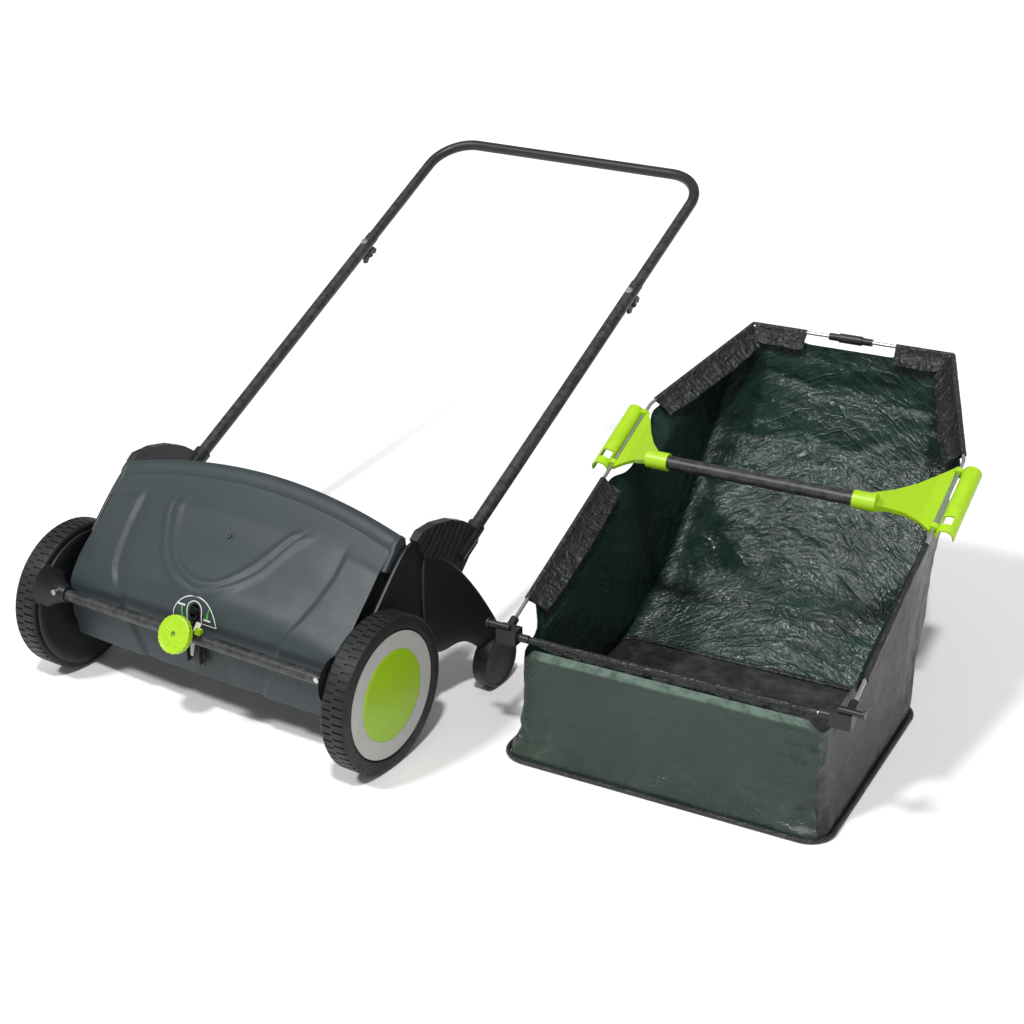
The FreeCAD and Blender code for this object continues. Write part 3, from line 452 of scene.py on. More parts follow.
@dataclass(frozen=True)
class Rubber:
    """Dull tyre rubber with a ribbed sidewall.

    Attributes:
        colour: Colour of clean rubber.
        worn: Colour of the rubbed tread.
        axis_y: Wheel centre along Y, in metres.
        axis_z: Wheel centre height, in metres.
    """

    name: str
    colour: Colour
    worn: Colour
    axis_y: float
    axis_z: float

    def make(self) -> bpy.types.Material:
        """Build the material."""
        material, graph, shader = fresh_material(self.name)
        space = graph.space()
        centred = graph.add("ShaderNodeMapping", {
            "Vector": space, "Location": (0.0, -self.axis_y, -self.axis_z)}).outputs[0]
        flat = graph.add("ShaderNodeVectorMath", {0: centred, 1: (0.0, 1.0, 1.0)},
                         operation="MULTIPLY").outputs[0]
        reach = graph.add("ShaderNodeVectorMath", {0: flat}, operation="LENGTH").outputs["Value"]
        tread = graph.spread(reach, 0.1205, 0.1245)
        mottle = EFFECTS.place(graph, Effect.MOTTLE, space, 30.0).outputs["Mask"]
        dust = EFFECTS.place(graph, Effect.DUST, space, 50.0).outputs["Mask"]
        grain = EFFECTS.place(graph, Effect.GRAIN, space, 1300.0).outputs["Height"]
        colour = graph.mix(graph.maths("MULTIPLY", tread, 0.6), self.colour, self.worn)
        colour = graph.mix(graph.maths("MULTIPLY", mottle, 0.25), colour, self.worn)
        colour = graph.mix(graph.maths("MULTIPLY", dust, 0.03), colour, (0.3, 0.27, 0.22))
        rings = graph.maths("SINE", graph.maths("MULTIPLY", reach, 2600.0))
        rings = graph.maths("MULTIPLY", rings, graph.spread(reach, 0.104, 0.118, 1.0, 0.0))
        normal = graph.bump(rings, 0.00025)
        graph.feed(shader.inputs["Base Color"], colour)
        graph.feed(shader.inputs["Roughness"], graph.spread(mottle, 0.0, 1.0, 0.5, 0.62))
        graph.feed(shader.inputs["Specular IOR Level"], 0.45)
        graph.feed(shader.inputs["Normal"], graph.bump(grain, 0.00007, normal))
        return material


@dataclass(frozen=True)
class Coated:
    """Powder-coated steel tube.

    Attributes:
        colour: Coat colour.
        shade: Darker colour of the mottle.
        roughness: Mean gloss.
        chips: Strength of bright rubbed edges.
    """

    name: str
    colour: Colour
    shade: Colour
    roughness: float = 0.38
    chips: float = 0.25

    def make(self) -> bpy.types.Material:
        """Build the material."""
        material, graph, shader = fresh_material(self.name)
        space = graph.space()
        mottle = EFFECTS.place(graph, Effect.MOTTLE, space, 14.0).outputs["Mask"]
        peel = EFFECTS.place(graph, Effect.GRAIN, space, 420.0).outputs["Height"]
        edges = EFFECTS.place(graph, Effect.EDGES, space, 90.0).outputs["Mask"]
        scuffs = EFFECTS.place(graph, Effect.SCUFFS, space, 30.0).outputs["Mask"]
        colour = graph.mix(mottle, self.colour, self.shade)
        colour = graph.mix(graph.maths("MULTIPLY", edges, self.chips), colour, (0.3, 0.3, 0.3))
        colour = graph.mix(graph.maths("MULTIPLY", scuffs, 0.15), colour, (0.2, 0.2, 0.2))
        rough = graph.spread(mottle, 0.0, 1.0, self.roughness - 0.03, self.roughness + 0.06)
        graph.feed(shader.inputs["Base Color"], colour)
        graph.feed(shader.inputs["Roughness"], graph.maths(
            "ADD", rough, graph.maths("MULTIPLY", scuffs, 0.12)))
        graph.feed(shader.inputs["Normal"], graph.bump(peel, 0.00006))
        return material


@dataclass(frozen=True)
class Plated:
    """Zinc-plated steel with drawing lines and dull patches.

    Attributes:
        colour: Bright plating.
        dull: Oxidised plating.
        roughness: Mean gloss.
    """

    name: str
    colour: Colour
    dull: Colour
    roughness: float = 0.28

    def make(self) -> bpy.types.Material:
        """Build the material."""
        material, graph, shader = fresh_material(self.name)
        space = graph.space()
        patches = EFFECTS.place(graph, Effect.MOTTLE, space, 70.0).outputs["Mask"]
        scuffs = EFFECTS.place(graph, Effect.SCUFFS, space, 80.0).outputs["Mask"]
        grain = EFFECTS.place(graph, Effect.GRAIN, space, 1500.0).outputs["Height"]
        colour = graph.mix(graph.maths("MULTIPLY", patches, 0.6), self.colour, self.dull)
        rough = graph.spread(patches, 0.0, 1.0, self.roughness, self.roughness + 0.14)
        graph.feed(shader.inputs["Base Color"], colour)
        graph.feed(shader.inputs["Metallic"], graph.spread(patches, 0.0, 1.0, 1.0, 0.82))
        graph.feed(shader.inputs["Roughness"], graph.maths(
            "ADD", rough, graph.maths("MULTIPLY", scuffs, 0.1)))
        graph.feed(shader.inputs["Normal"], graph.bump(grain, 0.00003))
        return material


@dataclass(frozen=True)
class Woven:
    """Laminated cloth woven from flat tapes, creased and glossy.

    Attributes:
        colour: Cloth colour.
        deep: Darker second colour of the mottle, and of the painted shade where tapes dive.
        pale: Colour of the bare edge strip, and of the painted highlight on the crease crests.
        tapes: Tapes per metre.
        weave: Depth of the weave in metres.
        crease: Depth of the creases in metres.
        across: Creases per metre across the cloth.
        along: Creases per metre along the cloth.
        roughness: Mean gloss.
        specular: Strength of the plain reflection.
    """

    name: str
    colour: Colour
    deep: Colour
    pale: Colour
    tapes: float = 420.0
    weave: float = 0.00022
    crease: float = 0.0011
    across: float = 13.0
    along: float = 34.0
    roughness: float = 0.34
    specular: float = 0.5

    def make(self) -> bpy.types.Material:
        """Build the material."""
        material, graph, shader = fresh_material(self.name)
        cloth = graph.cloth()
        space = graph.space()
        bare = graph.add("ShaderNodeAttribute", attribute_name="bare_edge").outputs["Fac"]
        calm = graph.add("ShaderNodeAttribute", attribute_name="calm").outputs["Fac"]
        weave = EFFECTS.place(graph, Effect.WEAVE, cloth, self.tapes)
        field_ = graph.stretched(cloth, (self.across, self.along, 1.0))
        creases = EFFECTS.place(graph, Effect.CREASES, field_, 1.0).outputs["Height"]
        finer = EFFECTS.place(graph, Effect.CREASES, graph.stretched(
            cloth, (self.along * 1.3, self.across * 2.6, 1.0)), 1.0).outputs["Height"]
        creases = graph.maths("ADD", creases, graph.maths("MULTIPLY", finer, 0.3))
        creases = graph.maths("MULTIPLY", creases, graph.spread(calm, 0.0, 1.0, 1.0, 0.45))
        mottle = EFFECTS.place(graph, Effect.MOTTLE, space, 8.0).outputs["Mask"]
        dust = EFFECTS.place(graph, Effect.DUST, space, 18.0).outputs["Mask"]
        colour = graph.mix(mottle, self.colour, self.deep)
        # Painted shade: alternate cells of the weave, where tapes dive, are darkened towards the
        # deep colour.
        colour = graph.mix(graph.maths("MULTIPLY", weave.outputs["Mask"], 0.3), colour, self.deep)
        # Painted highlight: the crests of the creases are lightened towards the pale colour.
        colour = graph.mix(graph.maths("MULTIPLY", graph.spread(creases, 0.4, 0.75), 0.12),
                           colour, self.pale)
        strip = graph.spread(weave.outputs["Height"], 0.3, 0.9, 0.25, 0.8)
        worn = graph.spread(graph.noise(cloth, 46.0, 3.0), 0.3, 0.62, 0.25, 1.0)
        strip = graph.maths("MULTIPLY", strip, worn)
        colour = graph.mix(graph.maths("MULTIPLY", bare, strip), colour, self.pale)
        colour = graph.mix(graph.maths("MULTIPLY", dust, 0.08), colour, (0.3, 0.29, 0.25))
        rough = graph.spread(mottle, 0.0, 1.0, self.roughness - 0.05, self.roughness + 0.08)
        normal = graph.bump(creases, self.crease)
        normal = graph.bump(weave.outputs["Height"], self.weave, normal)
        graph.feed(shader.inputs["Base Color"], colour)
        graph.feed(shader.inputs["Roughness"], rough)
        graph.feed(shader.inputs["Specular IOR Level"], self.specular)
        graph.feed(shader.inputs["Normal"], normal)
        return material


@dataclass
class Finishes:
    """Every finish of the sweeper and the collector, made once.

    Attributes:
        layout: Where the wheels stand, for the tyres' sidewall rings.
    """

    layout: Layout
    made: dict[str, bpy.types.Material] = field(default_factory=dict)

    def __post_init__(self) -> None:
        """Make all the materials."""
        black = paint(22, 23, 25)
        swatches = (
            Moulded("hood_slate", paint(49, 58, 61), paint(46, 55, 58), 0.48, 900.0, 0.00005,
                    0.2, 0.02, 0.4),
            Moulded("arm_black", black, paint(19, 20, 22), 0.42, 1000.0, 0.00006, 0.25, 0.02),
            Moulded("joint_black", paint(24, 24, 25), paint(17, 17, 18), 0.4, 1400.0),
            Moulded("knob_lime", paint(161, 202, 26), paint(154, 196, 20), 0.36, 1200.0,
                    0.00004, 0.15, 0.05),
            Moulded("cap_lime", paint(148, 186, 12), paint(143, 181, 10), 0.33, 1300.0,
                    0.00003, 0.12, 0.05),
            Moulded("ring_grey", paint(176, 175, 171), paint(170, 169, 165), 0.45, 1200.0,
                    0.00003, 0.1, 0.08),
            Moulded("rim_black", paint(26, 27, 29), paint(20, 21, 22), 0.5),
            Moulded("plate_black", paint(14, 15, 16), paint(10, 11, 12), 0.3, 1500.0, 0.00002),
            Moulded("mark_white", paint(205, 208, 206), paint(190, 194, 192), 0.4, 1500.0,
                    0.00001, 0.0, 0.0),
            Moulded("mark_green", paint(70, 160, 60), paint(60, 146, 52), 0.4, 1500.0,
                    0.00001, 0.0, 0.0),
            Moulded("strap_pale", paint(188, 190, 180), paint(170, 178, 150), 0.4),
            Moulded("brush_plastic", paint(34, 35, 36), paint(28, 28, 30), 0.5),
            Moulded("bristle_fibre", paint(46, 46, 46), paint(36, 36, 37), 0.5, 2000.0, 0.00002),
            Moulded("board_black", paint(30, 31, 31), paint(23, 24, 24), 0.55, 500.0, 0.0002),
            Coated("tube_charcoal", paint(32, 33, 35), paint(29, 30, 32), 0.42, 0.1),
            Plated("steel_zinc", paint(205, 207, 208), paint(160, 162, 163)),
            Rubber("tyre_rubber", paint(15, 16, 17), paint(24, 25, 26), self.layout.axle.y,
                   (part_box("tyre_left")[0].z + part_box("tyre_left")[1].z) / 2.0),
            Woven("cloth_green", paint(20, 46, 37), paint(12, 33, 26), paint(60, 88, 76),
                  crease=0.0036, across=15.0, along=24.0, roughness=0.22,
                  specular=0.4),
            Woven("cloth_front", paint(39, 54, 48), paint(31, 46, 40), paint(112, 136, 122),
                  crease=0.0046, across=13.0, along=16.0, roughness=0.3),
            Woven("cloth_side", paint(34, 38, 37), paint(24, 27, 26), paint(62, 68, 66),
                  crease=0.0034, across=12.0, along=12.0, roughness=0.33),
            Woven("cloth_black", paint(27, 28, 29), paint(18, 19, 20), paint(52, 54, 56),
                  tapes=500.0, crease=0.0026, across=50.0, along=40.0, roughness=0.34),
        )
        for swatch in swatches:
            self.made[swatch.name] = swatch.make()
        LOG.info("made %d finishes", len(self.made))

    def dress(self, sets: dict[str, Sequence[str]]) -> None:
        """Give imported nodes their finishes.

        Args:
            sets: Names of the nodes, under the name of each finish.
        """
        for finish, nodes in sets.items():
            for node in nodes:
                materials = frame["nodes"][node].data.materials
                materials.clear()
                materials.append(self.made[finish])


# ---- bench work -------------------------------------------------------------------------


class Bench:
    """Modelling steps that the pieces share."""

    @staticmethod
    def clear() -> None:
        """Leave edit mode and deselect everything."""
        if bpy.context.object is not None and bpy.context.object.mode != "OBJECT":
            bpy.ops.object.mode_set(mode="OBJECT")
        bpy.ops.object.select_all(action="DESELECT")

    @staticmethod
    def only(piece: bpy.types.Object) -> None:
        """Select one piece and make it active."""
        Bench.clear()
        piece.select_set(True)
        bpy.context.view_layer.objects.active = piece

    @staticmethod
    def named(name: str) -> bpy.types.Object:
        """Name the primitive that was just added."""
        piece = bpy.context.object
        piece.name = name
        piece.data.name = name
        return piece

    @staticmethod
    def disc(name: str, centre: Vector, heading: Vector, radius: float, thick: float,
             sides: int = 32) -> bpy.types.Object:
        """A cylinder blank from a start point along a heading, sizes in metres."""
        Bench.clear()
        turn = heading.to_track_quat("Z", "Y").to_euler()
        bpy.ops.mesh.primitive_cylinder_add(
            vertices=sides, radius=radius, depth=thick,
            location=centre + heading.normalized() * (thick / 2.0), rotation=turn)
        return Bench.named(name)

    @staticmethod
    def pick(piece: bpy.types.Object, test: Callable[[Vector, Vector], bool]) -> None:
        """Enter edit mode and select the faces whose centre and normal pass a test."""
        bpy.context.view_layer.objects.active = piece
        if piece.mode != "EDIT":
            bpy.ops.object.mode_set(mode="EDIT")
        bpy.ops.mesh.select_mode(type="FACE")
        bpy.ops.mesh.select_all(action="DESELECT")
        shape = bmesh.from_edit_mesh(piece.data)
        for face in shape.faces:
            face.select_set(bool(test(face.calc_center_median(), face.normal)))
        bmesh.update_edit_mesh(piece.data)

    @staticmethod
    def edit_all(piece: bpy.types.Object, step: Callable[..., set],
                 **settings: object) -> None:
        """Run one edit step on every face of a piece.

        Args:
            piece: The piece.
            step: The edit-mode operator.
            settings: Its settings.
        """
        Bench.only(piece)
        bpy.ops.object.mode_set(mode="EDIT")
        bpy.ops.mesh.select_all(action="SELECT")
        step(**settings)
        bpy.ops.object.mode_set(mode="OBJECT")

    @staticmethod
    def outwards(piece: bpy.types.Object) -> None:
        """Turn every face of a shell the same way round, outwards."""
        Bench.edit_all(piece, bpy.ops.mesh.normals_make_consistent, inside=False)

    @staticmethod
    def settle(piece: bpy.types.Object) -> None:
        """Put the piece's place into its mesh."""
        Bench.only(piece)
        bpy.ops.object.transform_apply(location=True, rotation=True, scale=True)

    @staticmethod
    def apply(piece: bpy.types.Object, kind: str, **settings: object) -> None:
        """Add a modifier and apply it."""
        Bench.only(piece)
        modifier = piece.modifiers.new(kind.lower(), kind)
        for key, value in settings.items():
            setattr(modifier, key, value)
        bpy.ops.object.modifier_apply(modifier=modifier.name)

    @staticmethod
    def rounded(piece: bpy.types.Object, width: float, segments: int = 2,
                angle: float = 40.0) -> None:
        """Round the piece's sharp edges and smooth its shading."""
        Bench.apply(piece, "BEVEL", width=width, segments=segments, limit_method="ANGLE",
                    angle_limit=math.radians(angle), harden_normals=False)
        Bench.smooth(piece, angle)

    @staticmethod
    def smooth(piece: bpy.types.Object, angle: float = 40.0) -> None:
        """Smooth shading below an angle."""
        Bench.only(piece)
        bpy.ops.object.shade_smooth_by_angle(angle=math.radians(angle))

    @staticmethod
    def joined(name: str, pieces: Sequence[bpy.types.Object]) -> bpy.types.Object:
        """Join pieces into one."""
        Bench.clear()
        for piece in pieces:
            piece.select_set(True)
        bpy.context.view_layer.objects.active = pieces[0]
        if len(pieces) > 1:
            bpy.ops.object.join()
        return Bench.named(name)

    @staticmethod
    def grid(name: str, points: np.ndarray, wrap: bool = False,
             uv: np.ndarray | None = None) -> bpy.types.Object:
        """A sheet of quads through a rows-by-columns array of points.

        Args:
            name: Name of the piece.
            points: Array of shape (rows, columns, 3), in metres.
            wrap: Whether the last column joins the first.
            uv: Cloth coordinates of the same rows, with one more column if wrapped.

        Returns:
            The new object.
        """
        rows, columns = points.shape[:2]
        steps = columns if wrap else columns - 1
        faces, corners = [], []
        for row in range(rows - 1):
            for column in range(steps):
                after = (column + 1) % columns
                faces.append((row * columns + column, row * columns + after,
                              (row + 1) * columns + after, (row + 1) * columns + column))
                corners.append(((row, column), (row, column + 1),
                                (row + 1, column + 1), (row + 1, column)))
        mesh = bpy.data.meshes.new(name)
        mesh.from_pydata(points.reshape(-1, 3).tolist(), [], faces)
        if uv is not None:
            layer = mesh.uv_layers.new(name="cloth")
            flat = [uv[r, c] for quad in corners for r, c in quad]
            layer.data.foreach_set("uv", np.array(flat, np.float32).ravel())
        mesh.update()
        piece = bpy.data.objects.new(name, mesh)
        bpy.context.scene.collection.objects.link(piece)
        return piece

    @staticmethod
    def finish(piece: bpy.types.Object, body: str, materials: Sequence[bpy.types.Material],
               nodes: Iterable[str] = (), slot: str | None = None) -> bpy.types.Object:
        """Give a piece its finish, body and stand-in nodes."""
        if len(piece.data.materials) == 0:
            for material in materials:
                piece.data.materials.append(material)
        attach(piece, body)
        nodes = tuple(nodes)
        if nodes:
            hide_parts(*nodes)
        LOG.info("%s: %d faces on %s", piece.name, len(piece.data.polygons), body)
        return piece


# ---- sweeper ----------------------------------------------------------------------------


def curve_through(points: np.ndarray, counts: Sequence[int]) -> np.ndarray:
    """Catmull-Rom points through a polyline.

    Args:
        points: Array (n, m) of the polyline's points.
        counts: Samples in each of the n - 1 spans.

    Returns:
        Array of samples, the last point included.
    """
    ends = np.vstack([2 * points[0] - points[1], points, 2 * points[-1] - points[-2]])
    rows = []
    for index, count in enumerate(counts):
        a, b, c, d = ends[index:index + 4]
        for t in np.arange(count) / count:
            rows.append(0.5 * (2 * b + (c - a) * t + (2 * a - 5 * b + 4 * c - d) * t ** 2
                               + (3 * b - a - 3 * c + d) * t ** 3))
    rows.append(points[-1])
    return np.array(rows)


@dataclass
class Hood:
    """The blow-shaped hood with its pressed shapes, rolled lip and slot.

    Attributes:
        half: Half width between the end plates.
        wall: Wall thickness.
        columns: Mesh columns across the hood.
        lip_y, lip_z: Place of the lip's crest at the hood's ends.
        arch_y, arch_z: How far the crest moves back and up at the middle.
        probe: Row and column of a spot on the front, which shows where outwards is.
        front_row: First row of the panel's front below the lip.
        crest, downhill, downhill_size: Line that the pressed shapes are measured down.
        lip: Line of the rolled lip from its crest.
        middle, end: Lines of the panel at the hood's middle and at its ends.
        counts: Mesh rows in each span of the line.
        tub, well, side: Outlines of the pressed shapes.
    """

    layout: Layout
    finishes: Finishes
    half: float = 272.0
    wall: float = 3.0
    columns: int = 177
    lip_y: float = 101.0
    lip_z: float = 332.5
    arch_y: float = 17.0
    arch_z: float = 33.5
    probe: tuple[int, int] = (60, 80)
    front_row: int = 42
    crest: tuple[float, float] = (100.0, 348.0)
    downhill: tuple[float, float] = (-150.0, -125.0)
    downhill_size: float = 195.26
    lip: tuple = ((16, -19), (15, -6), (8, 0), (-1, -1), (-9, -8), (-14, -16), (-17, -20))
    middle: tuple = ((68, 320), (34, 291), (-5, 262), (-38, 236), (-52, 216), (-58, 198),
                     (-58.7, 185), (-56, 166), (-53.5, 120), (-50, 83))
    end: tuple = ((62, 293), (34, 266), (4, 238), (-24, 211), (-38, 198), (-46, 188),
                  (-50, 178), (-51, 165), (-47, 120), (-41, 80))
    counts: tuple = (4, 4, 4, 4, 3, 3, 6, 18, 18, 18, 10, 9, 7, 9, 18, 14)
    tub: tuple = ((-139, 0), (-137, 65), (-119, 107), (-99, 139), (-68, 167), (-31, 184),
                  (1, 188), (31, 174), (57, 157), (82, 131), (97, 102), (116, 65), (150, 30),
                  (172, 0))
    well: tuple = ((-121, 0), (-119, 51), (-109, 86), (-86, 126), (-57, 155), (-18, 171),
                   (20, 168), (44, 150), (68, 120), (84, 92), (104, 60), (130, 30), (150, 0))
    side: tuple = ((0, -208), (48, -207), (101, -205), (147, -197), (181, -187), (229, -160),
                   (274, -126), (340, -92))

    def profile(self, x: float) -> np.ndarray:
        """Outer (y, z) line of the hood at a distance from its middle."""
        share = 1.0 - (x / self.half) ** 2
        top = (self.lip_y + self.arch_y * share, self.lip_z + self.arch_z * share)
        line = [(top[0] + dy, top[1] + dz) for dy, dz in self.lip]
        for (ym, zm), (ye, ze) in zip(self.middle, self.end):
            line.append((ye + (ym - ye) * share, ze + (zm - ze) * share))
        return curve_through(np.array(line, float), self.counts)

    def depth_of(self, outline: Sequence[tuple], x: np.ndarray, d: np.ndarray) -> np.ndarray:
        """Distance inside a closed outline, negative outside it."""
        line = curve_through(np.array(outline, float), [6] * (len(outline) - 1))
        best = np.full(x.shape, 1e9)
        inside = np.zeros(x.shape, bool)
        closed = np.vstack([line, line[:1]])
        for index, (p, q) in enumerate(zip(closed[:-1], closed[1:])):
            if index < len(line) - 1:
                span = q - p
                share = ((x - p[0]) * span[0] + (d - p[1]) * span[1]) / (span @ span)
                share = share.clip(0.0, 1.0)
                best = np.minimum(best, np.hypot(x - p[0] - share * span[0],
                                                 d - p[1] - share * span[1]))
            crosses = (p[1] > d) != (q[1] > d)
            level = p[0] + (d - p[1]) * (q[0] - p[0]) / (q[1] - p[1] + 1e-12)
            inside ^= crosses & (x < level)
        return np.where(inside, best, -best)

    def relief(self, x: np.ndarray, d: np.ndarray) -> np.ndarray:
        """Height of the pressed shapes over the plain panel."""
        fade = ease(d, 6.0, 46.0)
        low = 1.0 - ease(d, 196.0, 214.0) * (np.abs(x) < 62.0)
        tub = self.depth_of(self.tub, x, d)
        well = self.depth_of(self.well, x, d)
        height = 3.0 * ease(tub, -17.0, 1.0) - 1.8 * np.exp(-((tub - 3.0) / 4.2) ** 2)
        height += 0.9 * np.exp(-((well + 1.0) / 5.0) ** 2) - 1.5 * ease(well, -4.0, 7.0)
        height *= fade * low
        knots = np.array(self.side, float)
        edge = np.interp(d, knots[:, 0], -knots[:, 1])
        out = np.abs(x) - edge
        height += 2.6 * ease(out, -3.0, 6.0) * ease(d, 0.0, 50.0)
        height -= 1.7 * np.exp(-(np.minimum(out - 1.0, 0.0) / 20.0) ** 2) * (out < 6.0) \
            * (1.0 - ease(out, -3.0, 6.0)) * ease(d, 0.0, 60.0)
        return height

    def surface(self) -> np.ndarray:
        """Outer points of the hood, rows down the profile and columns across."""
        across = np.linspace(-self.half, self.half, self.columns)
        lines = [self.profile(x) for x in across]
        points = np.zeros((len(lines[0]), self.columns, 3))
        for column, (x, line) in enumerate(zip(across, lines)):
            points[:, column, 0] = x
            points[:, column, 1:] = line
        down = np.gradient(points, axis=0)
        side = np.gradient(points, axis=1)
        normal = np.cross(side, down)
        normal /= np.linalg.norm(normal, axis=2, keepdims=True)
        normal *= -np.sign(normal[self.probe][1])
        d = ((points[..., 1] - self.crest[0]) * self.downhill[0]
             + (points[..., 2] - self.crest[1]) * self.downhill[1]) / self.downhill_size
        panel = ease(np.arange(points.shape[0]), 24.0, 34.0)[:, None]
        height = self.relief(points[..., 0], d) * panel
        return points + normal * height[..., None]

    def plain(self, x: float, z: float, lift: float) -> tuple[float, float, float]:
        """Point on the plain panel at a width and height, lifted off it."""
        line = self.profile(x)
        front = line[self.front_row:]
        order = np.argsort(front[:, 1])
        y = float(np.interp(z, front[order, 1], front[order, 0]))
        step = float(np.interp(z + 1.0, front[order, 1], front[order, 0])) - y
        size = math.hypot(1.0, step)
        return (x, y - lift / size, z + lift * step / size)

    def build(self) -> bpy.types.Object:
        """Model the hood, cut its slot and dress it."""
        piece = Bench.grid("hood_shell", self.layout.sweeper_grid(self.surface()))
        Bench.outwards(piece)
        row, column = self.probe
        middle = piece.data.polygons[row * (self.columns - 1) + column]
        if middle.normal.y > 0.0:
            Bench.edit_all(piece, bpy.ops.mesh.flip_normals)
        Bench.apply(piece, "SOLIDIFY", thickness=self.wall * MM, offset=-1.0,
                    use_even_offset=True)
        cutter = self.slot_cutter()
        Bench.apply(piece, "BOOLEAN", object=cutter, operation="DIFFERENCE", solver="EXACT")
        bpy.data.objects.remove(cutter)
        Bench.smooth(piece, 35.0)
        return Bench.finish(piece, "deck", [self.finishes.made["hood_slate"]], ["hood"],
                            "hood_plastic")

    def slot_cutter(self) -> bpy.types.Object:
        """Round-topped block that cuts the height slot."""
        block = Bench.disc("slot_cutter", self.layout.sweeper(0.0, -92.0, 200.0),
                           Vector((0.0, 1.0, 0.0)), 11.0 * MM, 0.072, 32)
        Bench.settle(block)
        base = block.location.z
        Bench.pick(block, lambda centre, normal: normal.z < -0.05 and abs(normal.y) < 0.5)
        bpy.ops.mesh.extrude_region_move(
            TRANSFORM_OT_translate={"value": (0.0, 0.0, base - 0.082)})
        bpy.ops.object.mode_set(mode="OBJECT")
        return block

    def tabs(self) -> bpy.types.Object:
        """Blocks beside the lip that reach to the arms."""
        made = []
        outline = ((61, 290), (85, 314), (91, 325), (101, 332), (110, 332.5), (117, 326),
                   (119, 312), (126, 306), (100, 268))
        for side in (-1.0, 1.0):
            Bench.clear()
            bpy.ops.mesh.primitive_circle_add(vertices=len(outline), radius=0.01,
                                              fill_type="NGON")
            tab = Bench.named(f"tab_{side:.0f}")
            for vertex, (y, z) in zip(tab.data.vertices, outline):
                vertex.co = self.layout.sweeper(side * (self.half - 2.5), y, z)
            Bench.pick(tab, lambda centre, normal: True)
            bpy.ops.mesh.extrude_region_move(
                TRANSFORM_OT_translate={"value": (side * 10.4 * MM, 0.0, 0.0)})
            Bench.outwards(tab)
            Bench.rounded(tab, 0.0022, 3)
            made.append(tab)
        piece = Bench.joined("hood_tabs", made)
        return Bench.finish(piece, "deck", [self.finishes.made["hood_slate"]], (),
                            "hood_plastic")


@dataclass
class Dial:
    """The height scale's pale outline and its two setting marks.

    Attributes:
        centre_z: Height of the half-round plate's straight edge.
        reach: Radius of the outline.
        slot: Half width of the outline's inner arch.
        crown: Height of that arch.
    """

    hood: Hood
    finishes: Finishes
    centre_z: float = 181.0
    reach: float = 43.2
    slot: float = 14.6
    crown: float = 37.5

    def point(self, x: float, up: float, lift: float = 1.35) -> tuple[float, float, float]:
        """Point over the plate from its own width and height."""
        return self.hood.plain(x, self.centre_z + 0.9 * up, lift)

    def ribbon(self, name: str, line: Sequence[tuple[float, float]],
               width: float) -> bpy.types.Object:
        """Flat raised strip along a line on the plate, sizes in millimetres."""
        line = np.array(line, float)
        ahead = np.gradient(line, axis=0)
        ahead /= np.linalg.norm(ahead, axis=1, keepdims=True) + 1e-9
        side = np.stack([-ahead[:, 1], ahead[:, 0]], axis=1) * (width / 2.0)
        rows = np.array([[self.point(*(p + s)) for p, s in zip(line, side * sign)]
                         for sign in (-1.0, 1.0)])
        piece = Bench.grid(name, self.hood.layout.sweeper_grid(rows))
        Bench.apply(piece, "SOLIDIFY", thickness=0.0003, offset=0.0)
        return piece

    def outline(self) -> list[tuple[float, float]]:
        """Half ring with the arch of the slot."""
        line = []
        for degree in range(0, 181, 6):
            angle = math.radians(degree)
            line.append((self.reach * math.cos(angle), self.reach * math.sin(angle) + 1.6))
        line += [(x, 1.6) for x in (-36.0, -28.0, -20.0, -self.slot)]
        line += [(-self.slot, up) for up in (8.0, 15.0, self.crown - self.slot)]
        for degree in range(168, 0, -12):
            angle = math.radians(degree)
            line.append((self.slot * math.cos(angle),
                         self.crown - self.slot + self.slot * math.sin(angle)))
        line += [(self.slot, up) for up in (self.crown - self.slot, 15.0, 8.0, 1.6)]
        line += [(x, 1.6) for x in (20.0, 28.0, 36.0, self.reach)]
        return line

    def build(self) -> None:
        """Lay the outline and both marks on the plate."""
        pale = [self.ribbon("outline", self.outline(), 1.7),
                self.ribbon("bar_high", [(-35.0, 26.5), (-27.0, 26.5), (-19.0, 26.5)], 3.4),
                self.ribbon("bar_low", [(19.0, 11.0), (26.0, 11.0), (33.0, 11.0)], 3.4)]
        Bench.finish(Bench.joined("dial_outline", pale), "deck",
                     [self.finishes.made["mark_white"]])
        stems = [self.ribbon("stem_high", [(-25.0, 24.0), (-24.6, 15.0), (-24.2, 6.0)], 3.4),
                 self.ribbon("stem_low", [(26.0, 13.4), (26.4, 18.0), (26.8, 22.0)], 4.2),
                 self.ribbon("blade_low", [(26.8, 22.0), (27.6, 27.0), (28.4, 31.0)], 1.8)]
        Bench.finish(Bench.joined("dial_marks", stems), "deck",
                     [self.finishes.made["mark_green"]])


